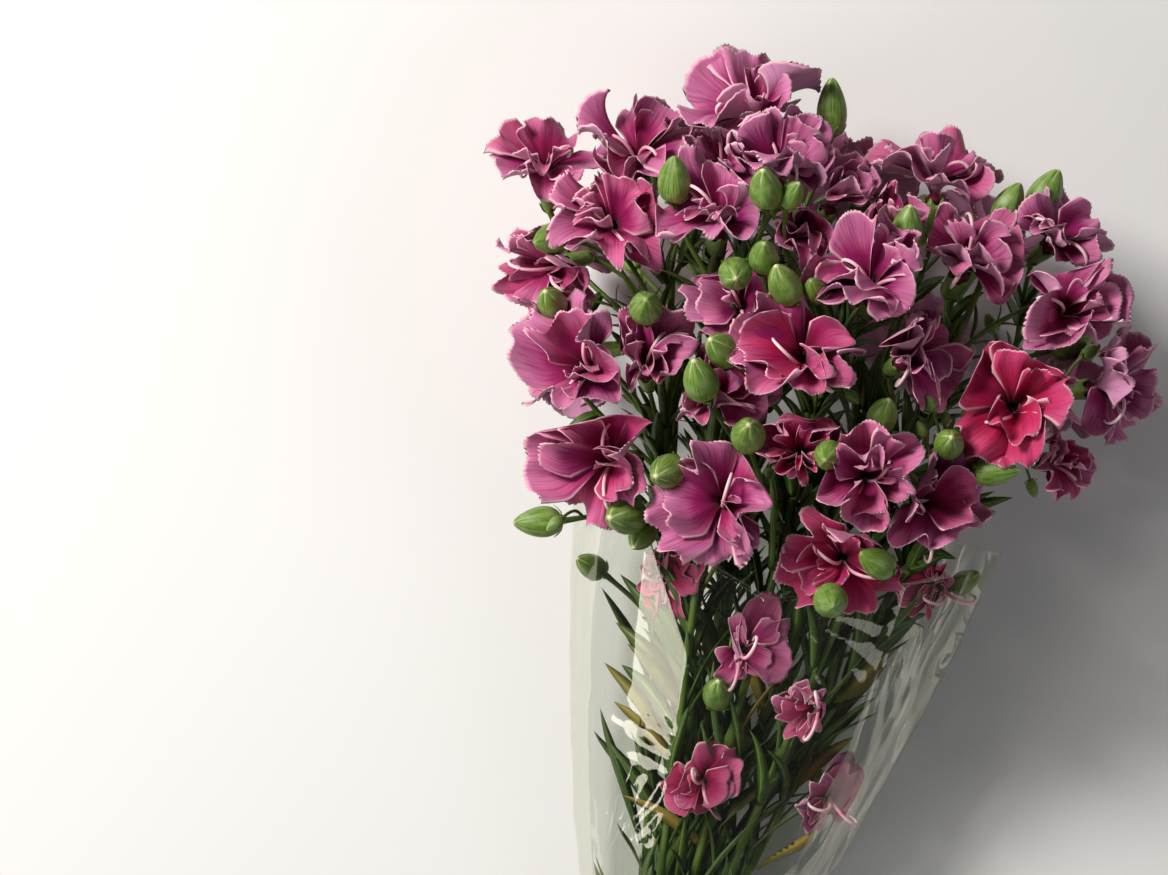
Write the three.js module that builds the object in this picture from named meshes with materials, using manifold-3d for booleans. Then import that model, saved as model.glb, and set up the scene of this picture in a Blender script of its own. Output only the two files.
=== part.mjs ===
// A bunch of spray carnations, lying down, in a sleeve of clear film.
// Millimetres, +Z up, +Y along the bunch from the cut ends to the flowers.
// The origin is the middle of the sleeve's flat underside, on the surface that the bunch lies on.

import * as THREE from 'three';
import { mergeVertices } from 'three/addons/utils/BufferGeometryUtils.js';
import Module from 'manifold-3d';

const wasm = await Module();
wasm.setup();

// ---------------------------------------------------------------- sizes

const clearance = 0.3; // left between any two pieces that touch

// Heads are placed on a plan seen from above, whose steps are 0.42 mm and whose y runs down the page.
const plan = { step: 0.42, originX: 758, originY: 640, lean: 14.5 };

// The heads lie on a flattened dome.
const dome = { middleY: 120, middleZ: 62, reachX: 152, reachY: 132, above: 70, below: 42 };

const stem = { radius: 2.0, topRadius: 1.5, cutY: -350, waistY: -195, rows: [2, 3, 4, 3], sections: 5, sides: 5 };
const pitch = 2 * stem.radius + clearance;
const rowHeight = pitch * Math.sqrt(3) / 2;

// How the stems spread above the waist: how far they get from it, and by how much they part.
const fan = {
  length: 255, ease: 0.12, acrossGain: 8.6, heightGain: 5.6, mostHeight: 1.1, rise: 56, risePower: 1.6,
};

// A branch forks off at a reach below its head, and lower for a head further beside its stem.
const branch = { radius: 1.2, reach: 26, beside: 0.62, lowest: 45, pull: 0.38, sections: 3, sides: 3 };
// A calyx has these sizes under a flower of fullWidth, and is smaller under a smaller one.
const calyx = {
  length: 18, footHeight: 1.5, footRadius: 2.9, mouthRadius: 4.6, leastSize: 0.72, fullWidth: 46, sides: 6,
};
const budShape = { girth: 0.32, shoulder: 0.3, neck: 0.66, neckGirth: 0.84 }; // as shares of its length
const leaf = {
  length: 78,
  shortest: 0.75, // as a share of its length, and how much longer than that it may be
  spare: 0.4,
  shift: 30,
  step: 5,
  halfWidths: [0, 2.3, 1.96, 0],
  halfThickness: 0.42,
  lean: 10,
  bend: 30,
};
const petal = {
  halfThickness: 0.36,
  outerMiddle: 1.9,
  innerMiddle: 0.45,
  rootHeight: 0.9,
  rootStep: 2.1,
  rootRadius: 1.7,
  inset: 0.8,
  nesting: 0.54,
  start: 8,
  opened: 0.45, // the share of its length by which it has opened
  share: 0.93, // of the room that it has round the axis
  filmRoom: 1.2,
  steps: 12,
};
const petalLayers = [{ count: 3, open: 84, length: 1.26, spread: 57 }, { count: 2, open: 52, length: 1.08, spread: 56 }];
const band = { y: -300, width: 7, thickness: 1.6, sides: 12 };

const film = {
  thickness: 0.6,
  around: 18,
  along: [0, 0.08, 0.24, 0.43, 0.62, 0.81, 1],
  waistWidth: 12,
  widthGain: 108,
  waistHeight: 18,
  heightGain: 128,
  growth: 190,
  middle: 0.44, // the height of the section's middle, as a share of its whole height
  rimFront: 20,
  rimRise: 40,
  rimPower: 0.45,
  rimSlant: 9,
  rimWave: 3,
  // flat facets meet along these waves, whose depth is a share of the section's size
  waves: [{ depth: 0.024, times: 7, from: 0.6, twist: 3.1 }, { depth: 0.016, times: 11, from: 2, twist: -5 }],
  // how close to the wall things may lie inside it and hang outside it, as shares of the section's size
  inside: 0.955,
  insideSoft: 0.8,
  opening: 0.1,
  outside: 1.035,
  closing: 0.03,
  outsideSoft: 0.04,
  outsideReach: 0.3,
};

const colours = { green: 0x5f8f41, mauve: 0xb05a85, crimson: 0xb8244e, film: 0xdfe6e2, rubber: 0xc2a06a };

// ---------------------------------------------------------------- the plan of the heads

const blooms = [];
const buds = [];

// turn: the way the head leans on the plan, in degrees from the right, anticlockwise
// tilt: how far it looks up from the plan, in degrees. width: its size in mm
// tone: 0 for pale mauve to 1 for crimson. lift: mm nearer the eye than the dome
// region: over the dome, under it, or inside the film. girth: a bud's half width as a share of its length
const [over, under, inFilm] = ['over', 'under', 'in film'];
const bloom = (x, y, turn, tilt, width, tone, lift = 0, region = over) =>
  blooms.push({ x, y, turn, tilt, width, tone, lift, region });
const bud = (x, y, turn, tilt, length, lift = 0, region = over, girth = budShape.girth) =>
  buds.push({ x, y, turn, tilt, length, lift, region, girth });

// the far edge of the bunch, from left to right
bloom(545, 168, 95, 45, 38, 0.5, -14);
bloom(637, 160, 100, 35, 46, 0.45, -4);
bloom(722, 165, 90, 50, 30, 0.3, -24);
bloom(755, 118, 95, 45, 50, 0.35, -6);
bloom(777, 172, 80, 40, 42, 0.15, 8);
bloom(833, 202, 65, 35, 34, 0.4, -8);
bloom(935, 185, 88, 20, 44, 0.45, -14);
bloom(1053, 243, 40, 60, 34, 0.3, 0);

// the upper rows
bloom(612, 232, 120, 65, 46, 0.7, 2);
bloom(555, 268, 200, 50, 42, 0.5, -10);
bloom(718, 225, 80, 60, 48, 0.35, 6);
bloom(795, 240, 60, 65, 38, 0.45, -6);
bloom(885, 243, 95, 40, 42, 0.6, -12);
bloom(962, 268, 60, 60, 48, 0.6, -2);
bloom(868, 290, 85, 65, 50, 0.3, 6);
bloom(1060, 315, 20, 60, 48, 0.4, 0);
bloom(735, 312, 90, 70, 38, 0.4, -18);

// the middle rows
bloom(590, 370, 170, 65, 46, 0.4, 2);
bloom(645, 368, 100, 70, 42, 0.45, -8);
bloom(800, 368, 270, 80, 52, 0.65, 10);
bloom(905, 360, 30, 70, 48, 0.4, 0);
bloom(1010, 415, 350, 75, 48, 0.95, 4);
bloom(1103, 388, 5, 40, 46, 0.25, 0);
bloom(1050, 464, 345, 50, 30, 0.6, -4);
bloom(718, 410, 150, 75, 46, 0.45, -6);

// the near rows
bloom(612, 462, 190, 65, 50, 0.5, 2);
bloom(722, 508, 250, 70, 48, 0.4, 6);
bloom(798, 458, 270, 75, 42, 0.7, 0);
bloom(868, 480, 280, 70, 46, 0.5, 2);
bloom(920, 510, 310, 65, 44, 0.5, 0);
bloom(838, 570, 265, 70, 44, 0.85, 0);

// inside the film
bloom(662, 578, 240, 55, 34, 0.8, -6, inFilm);
bloom(950, 592, 300, 50, 32, 0.85, -6, inFilm);
bloom(742, 655, 270, 60, 40, 0.5, 0, inFilm);
bloom(808, 702, 270, 60, 34, 0.6, -2, inFilm);
bloom(832, 803, 300, 50, 30, 0.5, -2, inFilm);
bloom(705, 783, 250, 55, 30, 0.7, 0, inFilm);

// the far end and the underside
bloom(690, 150, 100, -10, 44, 0.45, 10, under);
bloom(860, 195, 85, -15, 44, 0.5, 10, under);
bloom(985, 250, 60, -20, 44, 0.4, 12, under);
bloom(590, 235, 140, -20, 44, 0.5, 12, under);
bloom(575, 355, 190, -25, 42, 0.4, 10, under);
bloom(1055, 385, 0, -25, 44, 0.5, 10, under);
bloom(770, 290, 90, -60, 46, 0.4, 0, under);
bloom(905, 350, 60, -60, 46, 0.5, 0, under);

// buds along the far edge
bud(832, 106, 90, 5, 25, -8, over, 0.26);
bud(673, 181, 90, 35, 22, 22);
bud(765, 191, 100, 50, 22, 30);
bud(787, 197, 60, 50, 16, 26);
bud(1008, 204, 62, 15, 20, 0);
bud(1046, 193, 62, 15, 23, 0);
bud(903, 230, 82, 30, 22, 12);
bud(862, 217, 95, 15, 22, -10);
bud(550, 240, 195, 50, 21, 14);

// buds over the upper rows
bud(762, 259, 90, 60, 20, 22);
bud(733, 277, 270, 80, 22, 20);
bud(780, 285, 115, 40, 22, 18);
bud(812, 291, 120, 60, 16, 14);
bud(1078, 290, 20, 30, 20, 2);
bud(645, 308, 90, 75, 22, 14);
bud(551, 302, 120, 60, 20, 8);
bud(532, 333, 100, 65, 20, 4);

// buds over the middle rows
bud(719, 350, 140, 55, 22, 18);
bud(698, 379, 110, 45, 23, 18);
bud(746, 434, 90, 70, 23, 18);
bud(825, 456, 225, 75, 20, 18);
bud(665, 472, 200, 65, 23, 16);
bud(945, 443, 80, 75, 20, 14);
bud(993, 471, 0, 20, 20, 8);
bud(880, 414, 70, 50, 20, 6);

// buds over the near rows and the film's rim
bud(624, 517, 185, 60, 25, 14);
bud(537, 522, 182, 10, 21, 22);
bud(640, 535, 235, 50, 18, 6);
bud(831, 595, 290, 80, 23, 16);
bud(873, 561, 150, 40, 20, 12);
bud(716, 547, 250, 40, 20, 8);
bud(968, 584, 30, 30, 15, 0, inFilm);
bud(897, 482, 330, 40, 18, 8);
bud(718, 691, 90, 60, 20, 0, inFilm);
bud(590, 567, 150, 40, 17, 0, inFilm);

// buds of the far end and the underside
bud(775, 160, 90, 0, 22, 12, under);
bud(640, 175, 110, -10, 22, 8, under);
bud(925, 215, 75, -5, 22, 16, under);
bud(1080, 340, 20, -10, 22, 16, under);

// ---------------------------------------------------------------- small helpers

const vec = (x, y, z) => new THREE.Vector3(x, y, z);
const degrees = THREE.MathUtils.degToRad;
const sum = (a, b, scale = 1) => a.clone().addScaledVector(b, scale);

// follows a distance while it is well above 0, and never falls below 0
const softened = (distance, soft) => (distance > 8 * soft ? distance : soft * Math.log1p(Math.exp(distance / soft)));

// a repeatable stream of draws between 0 and 1
function drawsFrom(seed) {
  let state = seed >>> 0;
  return () => {
    state = (state + 0x6d2b79f5) >>> 0;
    let mixed = state;
    mixed = Math.imul(mixed ^ (mixed >>> 15), mixed | 1);
    mixed ^= mixed + Math.imul(mixed ^ (mixed >>> 7), mixed | 61);
    return ((mixed ^ (mixed >>> 14)) >>> 0) / 4294967296;
  };
}

// A closed geometry as a solid: seams merged, empty triangles dropped, faces turned outward.
function solid(geometry) {
  const bare = geometry.clone();
  bare.deleteAttribute('normal');
  bare.deleteAttribute('uv');
  const merged = mergeVertices(bare, 1e-4);
  const place = merged.getAttribute('position');
  const index = merged.getIndex().array;
  const faces = [];
  let volume = 0;
  for (let i = 0; i < index.length; i += 3) {
    const [a, b, c] = [index[i], index[i + 1], index[i + 2]];
    if (a === b || b === c || a === c) continue;
    faces.push([a, b, c]);
    const corners = [a, b, c].map((n) => vec().fromBufferAttribute(place, n));
    volume += corners[0].dot(corners[1].cross(corners[2]));
  }
  const triVerts = new Uint32Array(faces.flatMap(([a, b, c]) => (volume < 0 ? [a, c, b] : [a, b, c])));
  return new wasm.Manifold(
    new wasm.Mesh({ numProp: 3, vertProperties: new Float32Array(place.array), triVerts }));
}

function geometryFrom(points, faces) {
  const geometry = new THREE.BufferGeometry();
  geometry.setAttribute('position', new THREE.Float32BufferAttribute(points.flatMap((p) => p.toArray()), 3));
  geometry.setIndex(faces.flat());
  return geometry;
}

function meshFrom(name, shape, material) {
  const { numProp, vertProperties, triVerts } = shape.getMesh();
  const geometry = new THREE.BufferGeometry();
  const places = new Float32Array(vertProperties.length / numProp * 3);
  for (let i = 0; i < places.length / 3; i += 1) {
    places.set(vertProperties.subarray(i * numProp, i * numProp + 3), i * 3);
  }
  geometry.setAttribute('position', new THREE.BufferAttribute(places, 3));
  geometry.setIndex(new THREE.BufferAttribute(new Uint32Array(triVerts), 1));
  const flat = geometry.toNonIndexed();
  flat.computeVertexNormals();
  const mesh = new THREE.Mesh(flat, material);
  mesh.name = name;
  return mesh;
}

const joined = (shapes) => shapes.reduce((whole, shape) => whole.add(shape));

const largest = (shape) => shape.decompose().reduce((a, b) => (b.volume() > a.volume() ? b : a));

// ---------------------------------------------------------------- the bundle and the fan of stems

const stemPlaces = stem.rows.flatMap((count, row) =>
  Array.from({ length: count }, (_, i) => ({
    across: (i - (count - 1) / 2) * pitch,
    height: (row - (stem.rows.length - 1) / 2) * rowHeight,
  })));

// How far the bundle reaches from its axis in one direction, with room round each stem.
const bundleReach = (angle, room) => stem.radius + room
  + Math.max(...stemPlaces.map((s) => s.across * Math.cos(angle) + s.height * Math.sin(angle)));

const axisHeight = bundleReach(-Math.PI / 2, clearance) + band.thickness;

// The convex outline round the bundle: the corners where its tangents meet. A corner points down,
// or with a turn of 0.5 a side lies flat.
function bundleOutline(room, count, turn = 0) {
  return Array.from({ length: count }, (_, i) => {
    const [a, b] = [i - 0.5, i + 0.5].map((n) => degrees(-90) + (2 * Math.PI * (n + turn)) / count);
    const [reachA, reachB] = [bundleReach(a, room), bundleReach(b, room)];
    const det = Math.sin(b - a);
    return {
      x: (reachA * Math.sin(b) - reachB * Math.sin(a)) / det,
      z: (reachB * Math.cos(a) - reachA * Math.cos(b)) / det + axisHeight,
    };
  });
}

function fanAt(y) {
  const along = Math.max(0, y - stem.waistY) / fan.length;
  const spread = (along * along) / (along + fan.ease);
  return {
    across: 1 + fan.acrossGain * spread,
    height: 1 + fan.heightGain * Math.min(spread, fan.mostHeight),
    middle: axisHeight + fan.rise * Math.sin(Math.min(along, 1) * Math.PI / 2) ** fan.risePower,
  };
}

function stemPoint(place, y) {
  const spread = fanAt(y);
  return vec(place.across * spread.across, y, spread.middle + place.height * spread.height);
}

// ---------------------------------------------------------------- the film sleeve's form

function filmSection(y) {
  const away = 1 - Math.exp(-Math.max(0, y - stem.waistY) / film.growth);
  return { width: film.waistWidth + film.widthGain * away, height: film.waistHeight + film.heightGain * away };
}

const rimAt = (angle) => film.rimFront
  + film.rimRise * ((1 - Math.sin(angle)) / 2) ** film.rimPower
  + film.rimSlant * Math.cos(angle) + film.rimWave * Math.sin(3 * angle + 1);

// A point of the film's wall: angle round the section, share of the way up, depth into the wall.
function filmPoint(angle, share, depth) {
  const y = stem.waistY + (rimAt(angle) - stem.waistY) * share;
  const { width, height } = filmSection(y);
  const pleat = 1 + share * film.waves
    .reduce((depth, wave) => depth + wave.depth * Math.sin(wave.times * angle + wave.from + wave.twist * share), 0);
  const x = (width * pleat - depth) * Math.cos(angle);
  const z = film.middle * height + ((1 - film.middle) * height * pleat - depth) * Math.sin(angle);
  return vec(x, y, Math.max(depth, z));
}

function filmSleeve(extra = 0) {
  const points = [];
  const depths = [-extra, film.thickness + extra];
  for (const depth of depths) {
    const waist = bundleOutline(clearance + film.thickness - depth, film.around);
    for (const share of film.along) {
      for (let i = 0; i < film.around; i += 1) {
        const angle = degrees(-90) + (2 * Math.PI * i) / film.around;
        const end = share === 0 ? vec(waist[i].x, stem.waistY - extra, waist[i].z) : filmPoint(angle, share, depth);
        if (share === 1) end.y += extra;
        points.push(end);
      }
    }
  }
  const rows = film.along.length;
  const at = (side, row, i) => (side * rows + row) * film.around + (i % film.around);
  const faces = [];
  const quad = (a, b, c, d) => faces.push([a, b, c], [a, c, d]);
  for (let i = 0; i < film.around; i += 1) {
    for (let row = 0; row < rows - 1; row += 1) {
      quad(at(0, row, i), at(0, row, i + 1), at(0, row + 1, i + 1), at(0, row + 1, i));
      quad(at(1, row, i), at(1, row + 1, i), at(1, row + 1, i + 1), at(1, row, i + 1));
    }
    quad(at(0, 0, i + 1), at(0, 0, i), at(1, 0, i), at(1, 0, i + 1));
    quad(at(0, rows - 1, i), at(0, rows - 1, i + 1), at(1, rows - 1, i + 1), at(1, rows - 1, i));
  }
  return solid(geometryFrom(points, faces));
}

// Where a point lies against the film: its angle, and its reach, which is 1 at the wall less the room.
function againstFilm(point, room) {
  const { width, height } = filmSection(point.y);
  const middle = film.middle * height;
  const angle = Math.atan2(point.z - middle, point.x);
  const reach = Math.hypot(point.x / (width - room), (point.z - middle) / (height - middle - room));
  return { middle, reach, aboveRim: point.y - rimAt(angle) };
}

const scaledAcross = (point, middle, scale) =>
  vec(point.x * scale, point.y, middle + (point.z - middle) * scale);

// Keeps a point inside the film. Above the rim the limit opens out quickly.
function insideFilm(point, room) {
  if (point.y < stem.waistY) return point;
  const { middle, reach, aboveRim } = againstFilm(point, room);
  const limit = film.inside * (1 + film.opening * Math.max(0, aboveRim - 2));
  const soft = limit * film.insideSoft;
  if (reach <= soft) return point;
  const limited = limit - (limit - soft) * Math.exp(-(reach - soft) / (limit - soft));
  return scaledAcross(point, middle, limited / reach);
}

// Keeps a petal that hangs past the rim on the outside of the film.
function outsideFilm(point, room) {
  const { middle, reach, aboveRim } = againstFilm(point, -room);
  const least = film.outside - film.closing * Math.max(0, aboveRim);
  if (reach <= 0 || reach > least + film.outsideReach) return point;
  return scaledAcross(point, middle, (least + softened(reach - least, film.outsideSoft)) / reach);
}

// ---------------------------------------------------------------- placing the heads

function onPlan(x, y) {
  const right = (x - plan.originX) * plan.step;
  const up = (plan.originY - y) * plan.step;
  const [c, s] = [Math.cos(degrees(plan.lean)), Math.sin(degrees(plan.lean))];
  return { x: right * c - up * s, y: right * s + up * c };
}

function domeHeight(x, y, region) {
  const off = (x / dome.reachX) ** 2 + ((y - dome.middleY) / dome.reachY) ** 2;
  const bulge = Math.sqrt(Math.max(0, 1 - off));
  return dome.middleZ + (region === under ? -dome.below : dome.above) * bulge;
}

function headAxis(head) {
  const turn = degrees(head.turn + plan.lean);
  const tilt = degrees(head.tilt);
  return vec(Math.cos(turn) * Math.cos(tilt), Math.sin(turn) * Math.cos(tilt), Math.sin(tilt));
}

// How high a head's middle lies at least, how far it keeps below the film, and how far it is above
// its calyx, as shares of its half width; and the gap to the film, in mm.
const placing = { least: 0.7, bloomDrop: 0.6, budDrop: 1, sink: 0.3, filmGap: 3 };

// Each head gets an axis, and the place where its branch ends: the foot of its calyx or bud.
function placeHead(head) {
  const { x, y } = onPlan(head.x, head.y);
  const isBloom = head.width !== undefined;
  const half = isBloom ? head.width / 2 : head.length * head.girth;
  const axis = headAxis(head);
  const middle = vec(x, y, Math.max(half * placing.least, domeHeight(x, y, head.region) + head.lift));
  if (head.region === inFilm) {
    const { width, height } = filmSection(y);
    const bulge = Math.sqrt(Math.max(0.1, 1 - (x / width) ** 2));
    middle.z = height * (film.middle + (1 - film.middle) * bulge);
    middle.z += head.lift - half * (isBloom ? placing.bloomDrop : placing.budDrop) - placing.filmGap;
  }
  const size = isBloom ? calyx.leastSize + (1 - calyx.leastSize) * (head.width / calyx.fullWidth) : 1;
  const depth = isBloom ? half * placing.sink + calyx.length * size : head.length / 2;
  return { ...head, isBloom, half, axis, size, home: sum(middle, axis, -depth) };
}

const heads = [...blooms, ...buds].map(placeHead);

// Each head grows on the stem whose place in the fan is nearest to its own, sooner on one with few heads.
const sharing = { most: 9, weight: 0.11 };
const counts = stemPlaces.map(() => 0);
for (const head of heads) {
  const spread = fanAt(head.home.y);
  const across = head.home.x / spread.across;
  const height = (head.home.z - spread.middle) / spread.height;
  const distances = stemPlaces.map((place, i) =>
    (counts[i] < sharing.most ? 1 : Infinity) * (1 + sharing.weight * counts[i])
      * Math.hypot(place.across - across, place.height - height));
  head.spray = distances.indexOf(Math.min(...distances));
  counts[head.spray] += 1;
}

// ---------------------------------------------------------------- strands

// A strand is a row of grains, small balls that keep a stem, branch, leaf or head clear of others.
const strands = [];

// It is straight between its corners, as the finished piece is.
function addStrand(strand, sections) {
  const last = strand.points.length - 1;
  strand.corners = Array.from({ length: sections + 1 }, (_, i) => Math.round((i * last) / sections));
  strand.bow = strand.corners.map((corner, k) => {
    if (k === 0 || k === sections) return vec(0, 0, 0);
    const middle = sum(strand.points[strand.corners[k - 1]], strand.points[strand.corners[k + 1]]).multiplyScalar(0.5);
    return sum(strand.points[corner], middle, -1);
  });
  straighten(strand);
  strands.push(strand);
}

function straighten({ points, corners }) {
  for (let k = 0; k < corners.length - 1; k += 1) {
    const [from, to] = [corners[k], corners[k + 1]];
    for (let i = from + 1; i < to; i += 1) points[i].lerpVectors(points[from], points[to], (i - from) / (to - from));
  }
}

const cornersOf = (strand) => strand.corners.map((corner) => strand.points[corner]);

function straightRow(from, axis, length, step) {
  const count = Math.max(2, Math.round(length / step) + 1);
  return Array.from({ length: count }, (_, i) => sum(from, axis, (length * i) / (count - 1)));
}

// a head that hangs over the film's rim: how near it is to the rim, and how far out in the section
const overRim = { near: 8, reach: 0.8, above: 2, free: 0.4 };

// the height along the stem where a head's branch leaves it
for (const head of heads) {
  const place = stemPlaces[head.spray];
  const beside = stemPoint(place, head.home.y).distanceTo(head.home);
  head.forkY = Math.max(head.home.y - branch.reach - branch.beside * beside, stem.waistY + branch.lowest);
  const { reach, aboveRim } = againstFilm(head.home, 0);
  head.overRim = head.region === over && aboveRim < overRim.near && reach > overRim.reach;
  if (head.overRim) head.forkY = Math.max(head.forkY, head.home.y - aboveRim + overRim.above);
}

// Grains: how far apart they are, how much wider than what they stand for, and the ball at a flower's heart
// that stems and buds keep out of, as a share of its half width, and how far up it is.
const grain = { step: 4, spare: 0.3, branchSpare: 0.8, leafRadius: 2.7, calyxSpare: 3, heart: 0.52, heartRise: 0.35 };

stemPlaces.forEach((place, spray) => {
  const own = heads.filter((head) => head.spray === spray);
  const topY = Math.max(...own.map((head) => head.forkY));
  const count = Math.round((topY - stem.waistY) / grain.step) + 1;
  const points = Array.from({ length: count }, (_, i) =>
    stemPoint(place, stem.waistY + ((topY - stem.waistY) * i) / (count - 1)));
  addStrand({
    kind: 'stem', spray, points, move: 0,
    reach: points.map((_, i) => grain.spare + stem.radius + (stem.topRadius - stem.radius) * (i / (count - 1))),
  }, stem.sections);
  for (const head of own) {
    const from = stemPoint(place, head.forkY);
    const onward = stemPoint(place, head.forkY + 5).sub(from).normalize();
    const span = from.distanceTo(head.home);
    const curve = new THREE.CubicBezierCurve3(
      from, sum(from, onward, span * branch.pull), sum(head.home, head.axis, -span * branch.pull), head.home);
    const steps = Math.max(3, Math.round(span / grain.step));
    addStrand({
      kind: 'branch', spray, move: 1, head,
      points: Array.from({ length: steps + 1 }, (_, i) => curve.getPoint(i / steps)),
      reach: Array(steps + 1).fill(branch.radius + grain.branchSpare),
    }, Math.max(2, Math.min(branch.sections, Math.round(steps / 5))));
    const body = head.isBloom ? calyx.length * head.size + grain.calyxSpare : head.length;
    const wide = (head.isBloom ? calyx.mouthRadius * head.size : head.half) + grain.spare;
    const row = straightRow(sum(head.home, head.axis, wide * 0.6), head.axis, body - wide * 1.2, grain.step);
    const reach = row.map((_, i) => (head.isBloom ? wide * (0.7 + 0.3 * (i / (row.length - 1)))
      : wide * (1 - 0.35 * Math.abs((2 * i) / (row.length - 1) - 0.9))));
    if (head.isBloom) {
      row.push(sum(head.home, head.axis, body + head.half * grain.heartRise));
      reach.push(head.half * grain.heart);
    }
    addStrand({ kind: 'head', spray, move: 1, head, points: row, reach }, row.length - 1);
  }
});

// A leaf leaves a joint of each stem in each row, leans out and then bends back.
const leafRows = [-122, -45];
stemPlaces.forEach((place, spray) => {
  const draw = drawsFrom(500 + spray);
  for (const rowY of leafRows) {
    const turn = draw() * 2 * Math.PI;
    const y = rowY + (draw() - 0.5) * leaf.shift;
    const length = leaf.length * (leaf.shortest + leaf.spare * draw());
    const from = stemPoint(place, y);
    const onward = stemPoint(place, y + 5).sub(from).normalize();
    const outward = vec(Math.cos(turn), 0, Math.sin(turn));
    outward.addScaledVector(onward, -outward.dot(onward)).normalize();
    const steps = Math.round(length / leaf.step);
    const points = [from];
    for (let i = 1; i <= steps; i += 1) {
      const lean = degrees(leaf.lean + leaf.bend * (i / steps));
      const way = onward.clone().multiplyScalar(Math.cos(lean)).addScaledVector(outward, Math.sin(lean));
      points.push(sum(points[i - 1], way, length / steps));
    }
    const reach = points.map(() => grain.leafRadius);
    addStrand({ kind: 'leaf', spray, move: 1, outward, points, reach }, leaf.halfWidths.length - 1);
  }
});

// ---------------------------------------------------------------- bending strands clear

const settling = {
  rounds: 120, look: 10, margin: 5, give: 0.55, bar: 0.6, smooth: 0.05, head: 0.5, sideways: 0.3, homing: 0.02,
  rooted: 4, filmRoom: 0.8,
};

function settle() {
  const grains = strands.flatMap((strand) =>
    strand.points.map((point, order) => ({ strand, point, order, reach: strand.reach[order], push: vec(0, 0, 0) })));
  let near = [];
  for (let round = 0; round < settling.rounds; round += 1) {
    if (round % settling.look === 0) near = nearPairs(grains);
    for (const { push } of grains) push.set(0, 0, 0);
    for (const [a, b] of near) {
      const apart = a.point.clone().sub(b.point);
      const distance = Math.max(apart.length(), 0.01);
      const short = a.reach + b.reach - distance;
      const share = a.strand.move + b.strand.move;
      if (short <= 0 || share === 0) continue;
      apart.multiplyScalar((short * settling.give) / distance / share);
      a.push.addScaledVector(apart, a.strand.move);
      b.push.addScaledVector(apart, -b.strand.move);
    }
    let at = 0;
    for (const strand of strands) {
      const pushes = grains.slice(at, at + strand.points.length).map(({ push }) => push);
      at += strand.points.length;
      if (strand.kind === 'head') moveHead(strand, pushes);
      else if (strand.move > 0) moveStrand(strand, pushes);
    }
    for (const strand of strands) {
      if (strand.kind === 'branch') strand.points.at(-1).copy(strand.head.home);
      if (strand.kind !== 'head') straighten(strand);
    }
  }
}

function nearPairs(grains) {
  const cellSize = 32;
  const cells = new Map();
  const key = (x, y, z) => `${x},${y},${z}`;
  grains.forEach((one, i) => {
    one.cell = one.point.toArray().map((value) => Math.floor(value / cellSize));
    one.number = i;
    const name = key(...one.cell);
    if (!cells.has(name)) cells.set(name, []);
    cells.get(name).push(one);
  });
  const pairs = [];
  for (const one of grains) {
    const [x, y, z] = one.cell;
    for (let n = 0; n < 27; n += 1) {
      const name = key(x + (n % 3) - 1, y + (Math.floor(n / 3) % 3) - 1, z + Math.floor(n / 9) - 1);
      for (const other of cells.get(name) ?? []) {
        if (other.number <= one.number || together(one, other)) continue;
        const limit = one.reach + other.reach + settling.margin;
        if (one.point.distanceTo(other.point) < limit) pairs.push([one, other]);
      }
    }
  }
  return pairs;
}

// Strands of one spray meet at its stem. Further out, its heads and branches keep clear of each other.
function together(one, other) {
  const [a, b] = [one.strand, other.strand];
  if (a.spray !== b.spray) return false;
  if (a.kind === 'stem' || b.kind === 'stem' || a.head === b.head) return true;
  return [one, other].some(({ strand, order }) => strand.kind !== 'head' && order < settling.rooted);
}

// A head moves as one, mostly towards or away from the eye, and drifts back to its place on the plan.
function moveHead(strand, pushes) {
  const { head } = strand;
  head.drift ??= vec(0, 0, 0);
  const move = pushes.reduce((total, push) => total.add(push), vec(0, 0, 0)).multiplyScalar(settling.head);
  move.x *= settling.sideways;
  move.y *= settling.sideways;
  move.addScaledVector(head.drift, -settling.homing);
  const lowest = Math.min(...strand.points.map((p, i) => p.z - strand.reach[i]));
  move.z = Math.max(move.z, -lowest);
  head.drift.add(move);
  head.home.add(move);
  for (const point of strand.points) point.add(move);
}

// A corner takes its share of each push along the straight parts beside it, and keeps most of its bend.
function moveStrand(strand, pushes) {
  const { points, corners, bow } = strand;
  const old = cornersOf(strand).map((point) => point.clone());
  const last = corners.length - 1;
  for (let k = 1; k <= last; k += 1) {
    const at = corners[k];
    const [before, after] = [corners[k - 1], corners[Math.min(k + 1, last)]];
    const point = points[at].addScaledVector(pushes[at], settling.bar);
    for (let i = before + 1; i < at; i += 1) {
      point.addScaledVector(pushes[i], (settling.bar * (i - before)) / (at - before));
    }
    for (let i = at + 1; i < after; i += 1) {
      point.addScaledVector(pushes[i], (settling.bar * (after - i)) / (after - at));
    }
    if (k < last) {
      const rest = sum(old[k - 1], old[k + 1]).multiplyScalar(0.5).add(bow[k]);
      point.addScaledVector(rest.sub(old[k]), settling.smooth);
    }
    point.z = Math.max(point.z, strand.reach[at]);
    if (strand.head?.overRim && k > last * overRim.free) continue;
    point.copy(insideFilm(point, strand.reach[at] + settling.filmRoom));
  }
}

settle();

// ---------------------------------------------------------------- green pieces

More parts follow.
